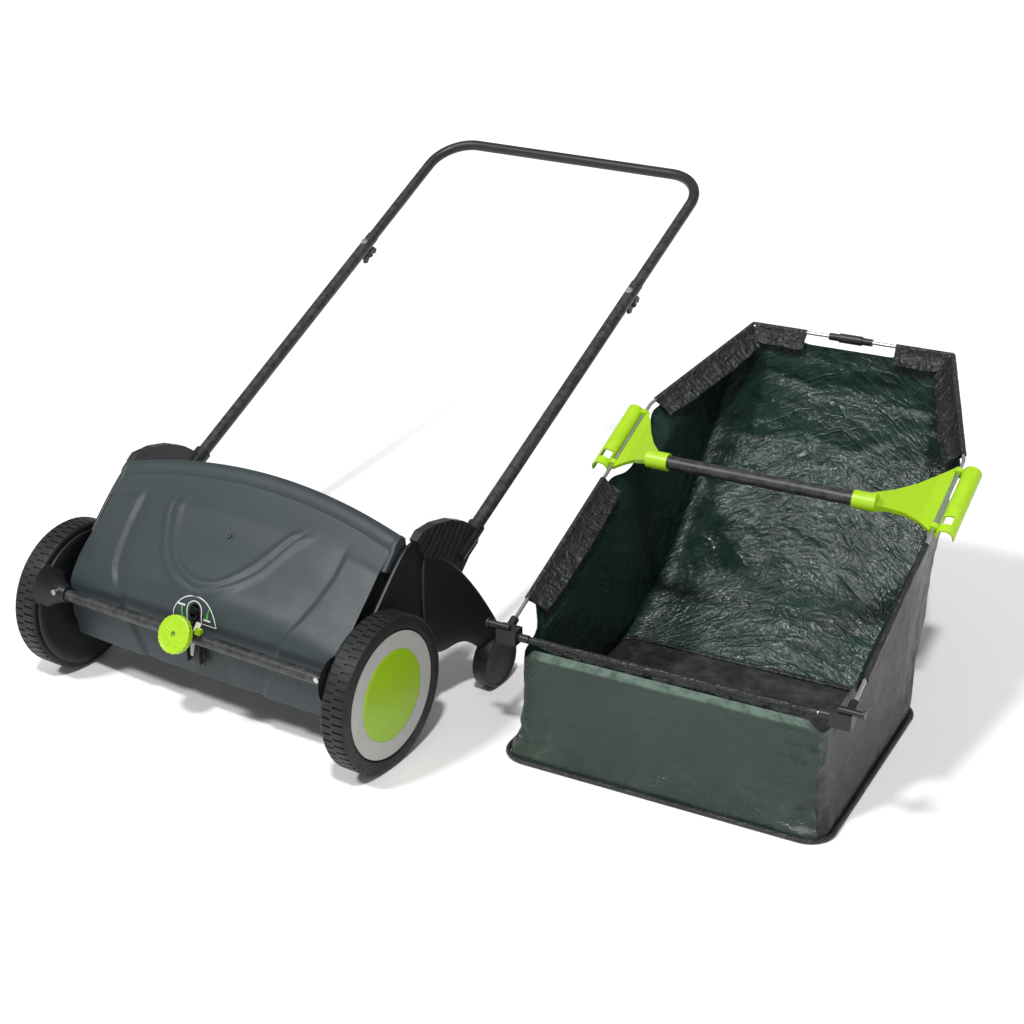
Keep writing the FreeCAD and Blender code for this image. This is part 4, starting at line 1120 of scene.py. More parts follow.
@dataclass
class Fastener:
    """A screw or bolt head with a rounded crown and a driver recess.

    Attributes:
        radius: Head radius in millimetres.
        height: Head height in millimetres.
        washer: Radius of the washer under it, or zero.
    """

    name: str
    radius: float
    height: float
    washer: float = 0.0

    def model(self, seat: Vector, heading: Vector) -> bpy.types.Object:
        """Model the head standing on a seat point along a heading."""
        parts = []
        heading = heading.normalized()
        start = seat.copy()
        if self.washer:
            ring = Bench.disc(f"{self.name}_washer", start, heading, self.washer * MM,
                              1.4 * MM, 36)
            Bench.settle(ring)
            Bench.pick(ring, lambda centre, normal: normal.dot(heading) > 0.9)
            bpy.ops.mesh.inset(thickness=0.28 * self.washer * MM)
            bpy.ops.transform.translate(value=heading * (-0.5 * MM))
            bpy.ops.object.mode_set(mode="OBJECT")
            Bench.rounded(ring, 0.0003, 2)
            parts.append(ring)
            start = start + heading * (0.8 * MM)
        head = Bench.disc(f"{self.name}_head", start, heading, self.radius * MM,
                          self.height * MM, 36)
        Bench.settle(head)
        Bench.pick(head, lambda centre, normal: normal.dot(heading) > 0.9)
        bpy.ops.mesh.inset(thickness=0.3 * self.radius * MM)
        bpy.ops.transform.translate(value=heading * (0.22 * self.height * MM))
        bpy.ops.mesh.inset(thickness=0.34 * self.radius * MM)
        bpy.ops.mesh.extrude_region_move(
            TRANSFORM_OT_translate={"value": heading * (-0.45 * self.height * MM)})
        bpy.ops.object.mode_set(mode="OBJECT")
        Bench.rounded(head, 0.00025, 2, 25.0)
        parts.append(head)
        return Bench.joined(self.name, parts)


@dataclass
class HeightKnob:
    """The lime clamping knob with a scalloped rim and raised petals.

    Attributes:
        radius: Outer radius in millimetres.
        thick: Disc thickness in millimetres.
        seat: Distance of the disc's back from the axle in millimetres.
        bar_y, bar_z: The front bar behind and above the axle in millimetres.
        petals: Ribs on its face.
    """

    layout: Layout
    finishes: Finishes
    radius: float = 30.6
    thick: float = 9.5
    seat: float = 113.0
    bar_y: float = -74.0
    bar_z: float = 39.0
    petals: int = 8

    def build(self) -> bpy.types.Object:
        """Model the knob on the height bolt's line."""
        heading = Vector((0.0, self.bar_y, self.bar_z)).normalized()
        axle = self.layout.hub()
        base = axle + heading * (self.seat * MM)
        disc = Bench.disc("knob_disc", base, heading, self.radius * MM, self.thick * MM, 96)
        Bench.settle(disc)
        top = base + heading * (self.thick * MM)
        Bench.pick(disc, lambda centre, normal: normal.dot(heading) > 0.9)
        for width, lift in ((2.4, 1.0), (2.4, -0.9), (9.0, 0.2), (8.6, 0.8), (3.6, 0.1)):
            bpy.ops.mesh.inset(thickness=width * MM)
            bpy.ops.transform.translate(value=heading * (lift * MM))
        bpy.ops.mesh.extrude_region_move(
            TRANSFORM_OT_translate={"value": heading * (-5.0 * MM)})
        bpy.ops.object.mode_set(mode="OBJECT")
        Bench.rounded(disc, 0.0006, 2, 22.0)
        for vertex in disc.data.vertices:
            offset = vertex.co - base
            rim = offset - heading * offset.dot(heading)
            if rim.length > 0.9 * self.radius * MM:
                turn = math.atan2(rim.dot(heading.cross(Vector((1.0, 0.0, 0.0)))), rim.x)
                vertex.co -= rim * (0.035 * (0.5 + 0.5 * math.cos(24.0 * turn)))
        parts = [disc, self.neck(base, heading)]
        side = heading.cross(Vector((1.0, 0.0, 0.0))).normalized()
        for index in range(self.petals):
            angle = 2.0 * math.pi * (index + 0.5) / self.petals
            out = Vector((1.0, 0.0, 0.0)) * math.cos(angle) + side * math.sin(angle)
            parts.append(self.petal(index, top, heading, out))
        piece = Bench.joined("height_knob_grip", parts)
        return Bench.finish(piece, "height_knob", [self.finishes.made["knob_lime"]],
                            ["height_knob"], "lime_plastic")

    def neck(self, base: Vector, heading: Vector) -> bpy.types.Object:
        """Short neck between the bar and the disc."""
        reach = math.hypot(self.bar_y, self.bar_z) + 10.1
        length = self.seat - reach
        neck = Bench.disc("knob_neck", base - heading * (length * MM), heading, 11.0 * MM,
                          (length + 0.5) * MM, 40)
        Bench.settle(neck)
        Bench.rounded(neck, 0.0008, 2)
        return neck

    def petal(self, index: int, top: Vector, heading: Vector,
              out: Vector) -> bpy.types.Object:
        """Low rounded rib from the hub towards the rim."""
        Bench.clear()
        bpy.ops.mesh.primitive_uv_sphere_add(segments=20, ring_count=10, radius=1.0)
        rib = Bench.named(f"petal_{index}")
        side = heading.cross(out)
        frame_ = Matrix((out * 7.4 * MM, side * 2.1 * MM, heading * 1.5 * MM)).transposed()
        place = Matrix.Translation(top + out * (16.0 * MM) + heading * (0.05 * MM))
        rib.data.transform(place @ frame_.to_4x4())
        Bench.smooth(rib, 60.0)
        return rib


@dataclass
class Strap:
    """The pale slotted strap behind the hood, in its dark channel.

    Attributes:
        inner: Radius of the strap's inner face about the axle.
        first: Angle of its lower end in degrees.
        last: Angle of its upper end.
    """

    layout: Layout
    finishes: Finishes
    inner: float = 70.6
    first: float = 134.0
    last: float = 178.0

    def arc(self, name: str, radius: float, thick: float, half: float,
            span: tuple[float, float], taper: float = 0.0) -> bpy.types.Object:
        """Curved flat bar about the axle.

        Args:
            name: Name of the bar.
            radius: Inner radius.
            thick: Thickness outwards.
            half: Half width.
            span: First and last angle in degrees.
            taper: Share of the width lost at the last angle.

        Returns:
            The new bar.
        """
        axle = self.layout.hub()
        Bench.clear()
        steps = 22
        bpy.ops.mesh.primitive_grid_add(x_subdivisions=2, y_subdivisions=steps, size=1.0)
        bar = Bench.named(name)
        for vertex in bar.data.vertices:
            share = vertex.co.y + 0.5
            angle = math.radians(span[0] + (span[1] - span[0]) * share)
            wide = 2.0 * half * (1.0 - taper * share ** 2)
            vertex.co = axle + Vector((vertex.co.x * wide * MM,
                                       radius * math.cos(angle) * MM,
                                       radius * math.sin(angle) * MM))
        Bench.apply(bar, "SOLIDIFY", thickness=thick * MM, offset=0.0)
        Bench.rounded(bar, 0.0004, 2)
        return bar

    def build(self) -> None:
        """Model the strap and its channel on the deck."""
        strap = self.arc("strap", self.inner + 0.5, 1.6, 5.4, (self.first, self.last), 0.55)
        Bench.finish(strap, "deck", [self.finishes.made["strap_pale"]], ["height_strap"],
                     "strap_white")
        back = [self.arc("channel_back", 62.0, 2.0, 17.0, (118.0, 196.0))]
        for side in (-1.0, 1.0):
            cheek = self.arc(f"cheek_{side:.0f}", 66.0, 9.0, 1.2, (122.0, 190.0))
            cheek.data.transform(Matrix.Translation((side * 0.0125, 0.0, 0.0)))
            back.append(cheek)
        Bench.finish(Bench.joined("strap_channel", back), "deck",
                     [self.finishes.made["rim_black"]], (), "black_plastic")


@dataclass
class Arms:
    """Side mouldings: plate, dust disc, bar bell, swept strut and foot.

    Attributes:
        plate: Outline of the side plate.
        struts: Sections (y, low, high, inner x, outer x) of the swept strut.
        bell: Sections of the bell that takes the front bar.
    """

    layout: Layout
    finishes: Finishes
    plate: tuple = ((18, 238), (76, 294), (112, 318), (150, 312), (183, 277), (190, 190),
                    (178, 94), (120, 58), (60, 46), (0, 62), (-36, 96), (-40, 150),
                    (-30, 190))
    struts: tuple = ((136, 150, 294, 286, 295), (160, 110, 286, 286, 297),
                     (186, 102, 273, 287, 301), (212, 106, 252, 288, 306),
                     (238, 104, 222, 291, 312), (262, 82, 186, 297, 321),
                     (286, 58, 142, 303, 330), (308, 42, 106, 306, 332))
    bell: tuple = ((259.0, -74.0, 165.0, 13.0, 13.5), (266.0, -74.5, 166.0, 14.5, 15.5),
                   (276.0, -78.0, 170.0, 20.0, 22.0), (284.0, -82.0, 175.0, 29.0, 31.0),
                   (288.5, -84.0, 178.0, 36.0, 38.0))

    def strut(self, side: float) -> bpy.types.Object:
        """Swept strut made by extruding one section after another."""
        Bench.clear()
        bpy.ops.mesh.primitive_circle_add(vertices=8, radius=0.01, fill_type="NGON")
        piece = Bench.named(f"strut_{side:.0f}")
        Bench.pick(piece, lambda centre, normal: True)
        for _ in self.struts[1:]:
            bpy.ops.mesh.extrude_region_move(TRANSFORM_OT_translate={"value": (0, 0, 0.01)})
        bpy.ops.object.mode_set(mode="OBJECT")
        for index, (y, low, high, inner, outer) in enumerate(self.struts):
            cut = 0.24 * (outer - inner)
            loop = ((inner, low + 4), (inner, high - 4), (inner + cut, high),
                    (outer - cut, high), (outer, high - 9), (outer, low + 9),
                    (outer - cut, low), (inner + cut, low))
            for corner, (x, z) in enumerate(loop):
                piece.data.vertices[index * 8 + corner].co = self.layout.sweeper(
                    side * x, y, z)
        Bench.outwards(piece)
        Bench.apply(piece, "SUBSURF", levels=2, render_levels=2)
        Bench.smooth(piece, 60.0)
        return piece

    def bell_mouth(self, side: float) -> bpy.types.Object:
        """Bell that widens from the bar's end to the dust disc."""
        Bench.clear()
        bpy.ops.mesh.primitive_circle_add(vertices=32, radius=0.01, fill_type="NGON")
        piece = Bench.named(f"bell_{side:.0f}")
        Bench.pick(piece, lambda centre, normal: True)
        for _ in self.bell[1:]:
            bpy.ops.mesh.extrude_region_move(TRANSFORM_OT_translate={"value": (0, 0, 0.01)})
        bpy.ops.object.mode_set(mode="OBJECT")
        for index, (x, y, z, wide, tall) in enumerate(self.bell):
            for corner in range(32):
                angle = 2.0 * math.pi * corner / 32.0
                piece.data.vertices[index * 32 + corner].co = self.layout.sweeper(
                    side * x, y + wide * math.cos(angle), z + tall * math.sin(angle))
        Bench.outwards(piece)
        Bench.rounded(piece, 0.0009, 2, 50.0)
        return piece

    def slab(self, name: str, outline: Sequence[tuple], x0: float, x1: float,
             edge: float) -> bpy.types.Object:
        """Flat moulding of a smooth outline between two distances from the middle."""
        closed = list(outline) + [outline[0]]
        line = curve_through(np.array(closed, float), [5] * len(outline))[:-1]
        Bench.clear()
        bpy.ops.mesh.primitive_circle_add(vertices=len(line), radius=0.01, fill_type="NGON")
        piece = Bench.named(name)
        for vertex, (y, z) in zip(piece.data.vertices, line):
            vertex.co = self.layout.sweeper(x0, y, z)
        Bench.pick(piece, lambda centre, normal: True)
        bpy.ops.mesh.extrude_region_move(
            TRANSFORM_OT_translate={"value": ((x1 - x0) * MM, 0.0, 0.0)})
        Bench.outwards(piece)
        Bench.rounded(piece, edge * MM, 3)
        return piece

    def turned(self, name: str, y: float, z: float, radius: float, x0: float, x1: float,
               dish: float) -> bpy.types.Object:
        """Round moulding with a shallow dished outer face."""
        side = math.copysign(1.0, x1 - x0)
        heading = Vector((side, 0.0, 0.0))
        disc = Bench.disc(name, self.layout.sweeper(x0, y, z), heading, radius * MM,
                          abs(x1 - x0) * MM, 96)
        Bench.settle(disc)
        for way in (1.0, -1.0):
            Bench.pick(disc, lambda centre, normal: normal.x * side * way > 0.9)
            bpy.ops.mesh.inset(thickness=0.10 * radius * MM)
            bpy.ops.mesh.inset(thickness=0.03 * radius * MM)
            bpy.ops.transform.translate(value=heading * (-dish * way * MM))
            bpy.ops.mesh.inset(thickness=0.5 * radius * MM)
            bpy.ops.object.mode_set(mode="OBJECT")
        Bench.rounded(disc, 0.0009, 3, 30.0)
        return disc

    def build(self) -> None:
        """Model both side mouldings."""
        for side, name in ((1.0, "right"), (-1.0, "left")):
            parts = [
                self.slab(f"plate_{name}", self.plate, side * 284.0, side * 290.5, 2.0),
                self.turned(f"disc_{name}", 0.0, self.layout.hub_height, 115.0, side * 285.2,
                            side * 290.5, 0.8),
                self.turned(f"foot_{name}", 300.0, 47.0, 47.0, side * 307.0, side * 333.0, 2.0),
                self.strut(side), self.bell_mouth(side)]
            piece = Bench.joined(f"arm_moulding_{name}", parts)
            Bench.finish(piece, "carriage", [self.finishes.made["arm_black"]],
                         [f"side_arm_{name}"], "black_plastic")


@dataclass
class Brush:
    """Bristle tufts on the four rows of the sweeping brush.

    Attributes:
        tufts: Tufts in each row.
        bristles: Bristles in each tuft.
        y, z: Place of the brush's shaft.
        half: Half length of the rows.
        root: Radius at which the tufts leave the core.
        tip: Radius of the tips.
    """

    layout: Layout
    finishes: Finishes
    y: float = 70.0
    z: float = 98.07
    half: float = 252.0
    tufts: int = 46
    bristles: int = 15
    root: float = 30.0
    tip: float = 85.6

    def bristle(self, index: int) -> bpy.types.Object:
        """One thin tapered fibre, leaning a little."""
        turn = 2.4 * index
        spread = 2.6 * math.sqrt(index / self.bristles)
        foot = Vector((spread * math.cos(turn), spread * math.sin(turn) * 0.8, self.root))
        lean = Vector((foot.x * 1.25 + 1.3 * math.sin(5.1 * index),
                       foot.y * 1.5 + 1.6 * math.cos(3.7 * index), 0.0))
        head = Vector((lean.x + foot.x, lean.y + foot.y,
                       self.tip - 1.8 * abs(math.sin(2.9 * index)) - 0.2 * abs(lean.x)))
        span = (head - foot) * MM
        Bench.clear()
        bpy.ops.mesh.primitive_cone_add(
            vertices=3, radius1=0.55 * MM, radius2=0.3 * MM, depth=span.length,
            location=foot * MM + span / 2.0, rotation=span.to_track_quat("Z", "Y").to_euler())
        return Bench.named(f"bristle_{index}")

    def build(self) -> bpy.types.Object:
        """Model one tuft, repeat it along a row, and copy the row round the core."""
        tuft = Bench.joined("tuft", [self.bristle(index) for index in range(self.bristles)])
        Bench.settle(tuft)
        pitch = 2.0 * self.half / (self.tufts - 1)
        Bench.apply(tuft, "ARRAY", count=self.tufts, use_relative_offset=False,
                    use_constant_offset=True, constant_offset_displace=(pitch * MM, 0.0, 0.0))
        self.ruffle(tuft)
        rows = []
        for index in range(4):
            row = tuft if index == 3 else tuft.copy()
            if row is not tuft:
                row.data = tuft.data.copy()
                bpy.context.scene.collection.objects.link(row)
            rows.append(row)
        for index, row in enumerate(rows):
            turn = Matrix.Rotation(math.radians(45.0 + 90.0 * index), 4, "X")
            shift = Matrix.Translation(self.layout.sweeper(0.0, self.y, self.z))
            slide = Matrix.Translation(Vector((-self.half * MM, 0.0, 0.0)))
            row.data.transform(shift @ turn @ slide)
        piece = Bench.joined("brush_tufts", rows)
        return Bench.finish(piece, "brush", [self.finishes.made["bristle_fibre"]],
                            ["brush_bristles"], "bristle")

    def ruffle(self, row: bpy.types.Object) -> None:
        """Bend the tips of a row unevenly, more towards the tips."""
        for vertex in row.data.vertices:
            x, height = vertex.co.x / MM, vertex.co.z / MM
            share = ((height - self.root) / (self.tip - self.root)) ** 2
            vertex.co.x += 1.4 * MM * share * math.sin(0.37 * x)
            vertex.co.y += 2.2 * MM * share * math.sin(0.11 * x + 1.0)


@dataclass
class Sweeper:
    """Everything on the sweeper's own bodies."""

    layout: Layout
    finishes: Finishes

    def dress(self) -> None:
        """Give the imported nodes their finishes."""
        self.finishes.dress({
            "arm_black": pairs("handle_socket", "end_plate", "wing_knob"),
            "tube_charcoal": (*pairs("lower_tube"), "upper_handle", "front_bar"),
            "steel_zinc": ("bar_end_screws", "axle_pins", "axle_washers", "handle_bolts",
                           "height_bolt", "brush_shaft"),
            "knob_lime": ("height_pointer",),
            "plate_black": ("scale_plate",),
            "tyre_rubber": pairs("tyre"),
            "rim_black": pairs("wheel_rim", "pinion"),
            "ring_grey": pairs("trim_ring"),
            "cap_lime": pairs("hub_cap"),
            "brush_plastic": ("brush_core",),
        })

    def build(self) -> None:
        """Dress the nodes and model the sweeper's new pieces."""
        self.dress()
        hood = Hood(self.layout, self.finishes)
        hood.build()
        hood.tabs()
        Dial(hood, self.finishes).build()
        HeightKnob(self.layout, self.finishes).build()
        Strap(self.layout, self.finishes).build()
        screw = Fastener("hood_screw_head", 4.4, 2.6, 8.6).model(
            self.layout.sweeper(0.0, 33.6, 291.8), Vector((0.0, -0.66, 0.75)))
        Bench.finish(screw, "deck", [self.finishes.made["hood_slate"]], ["hood_screw"],
                     "hood_plastic")
        Arms(self.layout, self.finishes).build()
        Brush(self.layout, self.finishes).build()


# ---- collector --------------------------------------------------------------------------


@dataclass
class RodFrame:
    """The frame plane that the rods and the bag's mouth lie in.

    Attributes:
        base: Height of the plane at the front.
        slope: Rise of the plane towards the back.
        rod: Distance of the side rods from the middle.
        bend: Where the side rods turn inwards.
        top: Distance of their rear corners from the middle.
        rear: Where the rear corners are.
    """

    layout: Layout
    base: float = 184.0
    slope: float = 0.38
    rod: float = 269.0
    bend: float = 556.0
    top: float = 177.0
    rear: float = 787.0

    def height(self, b: float) -> float:
        """Height of the plane at a distance from the front."""
        return self.base + self.slope * b

    def point(self, a: float, b: float) -> np.ndarray:
        """Point of the plane in collector coordinates."""
        return np.array((a, b, self.height(b)))


class Panel(IntEnum):
    """Panels of the bag's wall."""

    FRONT = 0
    SIDE = 1
    BACK = 2


@dataclass
class Bag:
    """The sewn hopper: floor, straight front, flat sides and a sloping back.

    Attributes:
        levels: Height, front, middle half width and place, rear half width and place, and
            corner radius of the bag's outline at several heights.
        counts: Mesh columns in each span of half the outline.
        rows: Mesh rows from the floor to the mouth.
        wall: Cloth thickness in millimetres.
        rings: Mesh rings in the floor.
        bracket_line: Place of the lime brackets behind the front.
        bracket_reach: Reach of the dip in the cloth's edge at them.
        side_seam, end_seam: Cloth taken up by the seams, in metres; not used.
    """

    frame: RodFrame
    layout: Layout
    finishes: Finishes
    levels: tuple = (
        (0.0, 6.0, 258.0, 400.0, 258.0, 445.0, 36.0),
        (14.0, 8.0, 257.0, 402.0, 255.0, 463.0, 35.0),
        (40.0, 17.0, 249.0, 414.0, 246.0, 497.0, 33.0),
        (100.0, 23.0, 244.0, 430.0, 235.0, 573.0, 30.0),
        (200.0, 30.0, 243.0, 440.0, 226.0, 653.0, 26.0),
        (300.0, 32.0, 244.0, 455.0, 224.0, 736.0, 24.0),
        (400.0, 32.0, 245.0, 480.0, 206.0, 777.0, 22.0),
        (520.0, 32.0, 245.0, 500.0, 168.0, 781.0, 20.0),
    )
    counts: tuple = (36, 9, 46, 40, 9, 30)
    rows: int = 86
    wall: float = 1.2
    rings: int = 22
    bracket_line: float = 470.0
    bracket_reach: float = 62.0
    side_seam: float = 0.02
    end_seam: float = 0.03

    def outline(self, level: Sequence[float]) -> np.ndarray:
        """Outline points of one level, from the front's middle round to it again."""
        front, mid_a, mid_b, rear_a, rear_b, radius = level[1:]
        n0, n1, n2, n3, n4, n5 = self.counts
        turns = np.linspace(-math.pi / 2.0, 0.0, n1, endpoint=False)
        half = [(a, front) for a in np.linspace(0.0, mid_a - radius, n0, endpoint=False)]
        half += [(mid_a - radius + radius * math.cos(t), front + radius + radius * math.sin(t))
                 for t in turns]
        half += [(mid_a, b) for b in np.linspace(front + radius, mid_b, n2, endpoint=False)]
        lean = np.array((rear_a - mid_a, rear_b - radius - mid_b))
        half += [tuple(np.array((mid_a, mid_b)) + lean * t)
                 for t in np.linspace(0.0, 1.0, n3, endpoint=False)]
        turns = np.linspace(0.0, math.pi / 2.0, n4, endpoint=False)
        half += [(rear_a - radius + radius * math.cos(t), rear_b - radius + radius * math.sin(t))
                 for t in turns]
        half += [(a, rear_b) for a in np.linspace(rear_a - radius, 0.0, n5)]
        half = np.array(half)
        other = half[-2:0:-1] * (-1.0, 1.0)
        return np.vstack([half, other])

    def zones(self) -> np.ndarray:
        """Which panel each outline point is on."""
        n0, n1, n2, n3, n4, n5 = self.counts
        half = [Panel.FRONT] * (n0 + n1 // 2) + [Panel.SIDE] * (n1 - n1 // 2 + n2 + n3)
        half += [Panel.SIDE] * (n4 // 2) + [Panel.BACK] * (n4 - n4 // 2 + n5)
        return np.array(half + half[-2:0:-1])

    def gap(self, b: np.ndarray) -> np.ndarray:
        """Share of the dip in the cloth's edge where the lime brackets hold the rods."""
        return np.exp(-((b - self.bracket_line) / self.bracket_reach) ** 4)

    def drop(self, outline: np.ndarray) -> np.ndarray:
        """How far below the frame plane the cloth's edge hangs, by outline point."""
        a, b = np.abs(outline[:, 0]), outline[:, 1]
        front = (1.0 - ease(b, 44.0, 62.0)) * (1.0 - ease(a, 214.0, 240.0))
        corner = (1.0 - ease(b, 80.0, 118.0)) - front
        gap = self.gap(b)
        rear = ease(b, 730.0, 765.0) * (1.0 - ease(a, 70.0, 96.0))
        return 11.0 - 1.0 * front + 22.0 * corner + 19.0 * gap + 5.0 * rear

    def walls(self) -> tuple[np.ndarray, np.ndarray]:
        """Wall points, rows upwards and columns round, and the height shares."""
        stack = np.array([self.outline(level) for level in self.levels])
        heights = np.array([level[0] for level in self.levels])

        def at(z: np.ndarray) -> np.ndarray:
            """Outline points, each at its own height."""
            found = np.zeros((stack.shape[1], 2))
            for axis in (0, 1):
                for column in range(stack.shape[1]):
                    found[column, axis] = np.interp(z[column], heights, stack[:, column, axis])
            return found

        top = np.full(stack.shape[1], 300.0)
        for _ in range(40):
            flat = at(top)
            goal = self.frame.height(flat[:, 1]) - self.drop(flat)
            top += 0.6 * (goal - top)
        share = np.linspace(0.0, 1.0, self.rows) ** 0.86
        points = np.zeros((self.rows, stack.shape[1], 3))
        for row, t in enumerate(share):
            z = 0.6 + (top - 0.6) * t
            points[row, :, :2] = at(z)
            points[row, :, 2] = z
        rim = self.rim(points[-1])
        climb = ease(points[..., 2], points[-1, :, 2] - 62.0, points[-1, :, 2])[..., None]
        points[..., :2] += (rim - points[-1, :, :2]) * climb
        return points, share

    def rim(self, edge: np.ndarray) -> np.ndarray:
        """Where the cloth's edge goes under the hems, close to the rods."""
        a, b = np.abs(edge[:, 0]), edge[:, 1]
        plane = self.frame
        rod = np.interp(b, (0.0, plane.bend, plane.rear), (plane.rod, plane.rod, plane.top)) - 4.0
        held = ease(b, 84.0, 130.0) * (1.0 - 0.6 * self.gap(b))
        held *= ease(a, 120.0, 160.0)
        wide = a + (rod - a) * held
        back = ease(b, 740.0, 772.0)
        deep = b + (784.0 - b) * back
        return np.stack([np.sign(edge[:, 0]) * wide, deep], axis=1)

    def crumple(self, points: np.ndarray, share: np.ndarray) -> np.ndarray:
        """Sag, creases and seam tucks, kept off the floor edge and the mouth."""
        around = np.roll(points, -1, axis=1) - np.roll(points, 1, axis=1)
        upward = np.gradient(points, axis=0)
        normal = np.cross(around, upward)
        normal /= np.linalg.norm(normal, axis=2, keepdims=True) + 1e-9
        flat = points.reshape(-1, 3)
        shape = points.shape[:2]
        zone = np.broadcast_to(self.zones(), shape)
        held = (ease(share, 0.0, 0.1) * (1.0 - ease(share, 0.93, 1.0)))[:, None]
        broad = rolling(flat, 120.0, 3.1).reshape(shape)
        folds = ridged(flat * (0.45, 1.0, 1.0), 52.0, 8.4, 3.0).reshape(shape)
        slant = ridged(flat * (0.5, 0.8, 1.3), 30.0, 21.7, 3.0).reshape(shape)
        lines = ridged(flat * (0.28, 1.0, 1.0), 17.0, 40.3, 3.0).reshape(shape)
        sag = 5.0 * np.sin(math.pi * np.clip(share, 0, 1))[:, None]
        move = np.zeros(shape)
        back = zone == Panel.BACK
        front = zone == Panel.FRONT
        side = zone == Panel.SIDE
        move += back * (broad * 4.5 + (folds - 0.3) * 3.6 + (slant - 0.3) * 1.6
                        + (lines - 0.3) * 0.5 - sag)
        move += side * (broad * 3.4 + (folds - 0.3) * 1.8 + (slant - 0.3) * 1.5 - 0.6 * sag)
        rest = ease(flat[:, 0].reshape(shape), 90.0, 235.0)
        move += front * (broad * 2.4 + (slant - 0.3) * (0.8 + 2.2 * rest)
                         + (folds - 0.3) * (0.5 + 1.4 * rest) - 0.5 * sag)
        for _ in range(3):
            move = 0.5 * move + 0.25 * (np.roll(move, 1, axis=1) + np.roll(move, -1, axis=1))
        a, b, z = flat.T.reshape(3, *shape)
        for a0, b0, z0, size, lift in ((236, 26, 34, 30, 5.0), (212, 24, 20, 22, 3.4),
                                       (222, 26, 132, 24, 2.6), (-238, 26, 30, 26, 4.0),
                                       (246, 96, 150, 34, 2.6)):
            reach = np.sqrt((a - a0) ** 2 + (b - b0) ** 2 + (z - z0) ** 2) / size
            move += lift * np.exp(-reach ** 2) * np.cos(4.6 * reach)
        move *= held
        return points + normal * move[..., None]

    def seams(self, points: np.ndarray) -> np.ndarray:
        """Raise the sewn corner seams a little."""
        n0, n1 = self.counts[:2]
        bumped = points.copy()
        middle = points.mean(axis=1, keepdims=True)
        for column in (n0 + n1 // 2, points.shape[1] - n0 - n1 // 2):
            for offset, lift in ((-1, 0.5), (0, 1.9), (1, 0.5)):
                where = (column + offset) % points.shape[1]
                out = points[:, where] - middle[:, 0]
                out[:, 2] = 0.0
                out /= np.linalg.norm(out, axis=1, keepdims=True)
                bumped[:, where] += out * lift
        return bumped

    def floor(self, rim: np.ndarray) -> np.ndarray:
        """Rings of the floor panel from its middle out to the walls."""
        middle = np.array((0.0, rim[:, 1].mean(), 0.0))
        rings = []
        for share in np.linspace(0.02, 1.0, self.rings, endpoint=False):
            ring = middle + (rim - middle) * share
            ring[:, 2] = 0.6 + 0.3 * share
            rings.append(ring)
        return np.array(rings)

    def build(self) -> bpy.types.Object:
        walls, share = self.walls()
        walls = self.seams(self.crumple(walls, share))
        floor = self.floor(walls[0])
        points = np.vstack([floor, walls])
        rows, columns = points.shape[:2]
        steps = np.linalg.norm(np.diff(np.concatenate([points, points[:, :1]], axis=1),
                                       axis=1), axis=2)
        rises = np.linalg.norm(np.diff(points, axis=0), axis=2)
        uv = np.zeros((rows, columns + 1, 2))
        middle_row = self.rings + int(0.6 * self.rows)
        uv[:, 1:, 0] = np.cumsum(steps[middle_row])
        climb = np.concatenate([np.zeros((1, columns)), np.cumsum(rises, axis=0)])
        uv[:, :columns, 1] = climb
        uv[:, columns, 1] = climb[:, 0]
        piece = Bench.grid("bag_cloth", self.layout.collector_grid(points), True, uv * MM)
        mesh = piece.data
        self.close_floor(piece)
        first = self.rings * columns
        for name, values in self.masks(walls).items():
            layer = mesh.attributes.new(name, "FLOAT", "POINT")
            full = np.zeros(len(mesh.vertices), np.float32)
            full[first:first + values.size] = values.ravel()
            layer.data.foreach_set("value", full)
        for finish in ("cloth_green", "cloth_front", "cloth_side"):
            mesh.materials.append(self.finishes.made[finish])
        self.face_outwards(piece)
        Bench.apply(piece, "SOLIDIFY", thickness=self.wall * MM, offset=-1.0)
        self.colour_panels(piece)
        Bench.smooth(piece, 75.0)
        Bench.finish(piece, "collector", (), ["bag_fabric"], "bag_green")
        return piece

    def close_floor(self, piece: bpy.types.Object) -> None:
        """Fill the small hole in the middle of the floor."""
        Bench.only(piece)
        bpy.ops.object.mode_set(mode="EDIT")
        bpy.ops.mesh.select_mode(type="VERT")
        bpy.ops.mesh.select_all(action="DESELECT")
        bpy.ops.object.mode_set(mode="OBJECT")
        for index in range(sum(self.counts) * 2 - 2):
            piece.data.vertices[index].select = True
        bpy.ops.object.mode_set(mode="EDIT")
        bpy.ops.mesh.edge_face_add()
        bpy.ops.mesh.select_all(action="SELECT")
        bpy.ops.mesh.normals_make_consistent(inside=False)
        bpy.ops.object.mode_set(mode="OBJECT")

    def face_outwards(self, piece: bpy.types.Object) -> None:
        """Turn the faces so that they look out of the bag."""
        middle = self.layout.collector(0.0, 220.0, 90.0)
        probe = max(piece.data.polygons, key=lambda face: (face.center - middle).x)
        if probe.normal.dot(probe.center - middle) < 0.0:
            Bench.edit_all(piece, bpy.ops.mesh.flip_normals)

    def masks(self, walls: np.ndarray) -> dict[str, np.ndarray]:
        """Point masks of the bare woven strip under the hem and of the calm front."""
        zone = np.broadcast_to(self.zones(), walls.shape[:2])
        below = walls[-1:, :, 2] - walls[..., 2]
        a = np.abs(walls[..., 0])
        strip = (1.0 - ease(below, 12.0, 17.0)) * (zone == Panel.FRONT)
        strip = strip * (1.0 - ease(a, 205.0, 228.0))
        calm = (zone == Panel.FRONT) * 0.9 + (zone == Panel.SIDE) * 0.3
        return {"bare_edge": strip, "calm": calm}

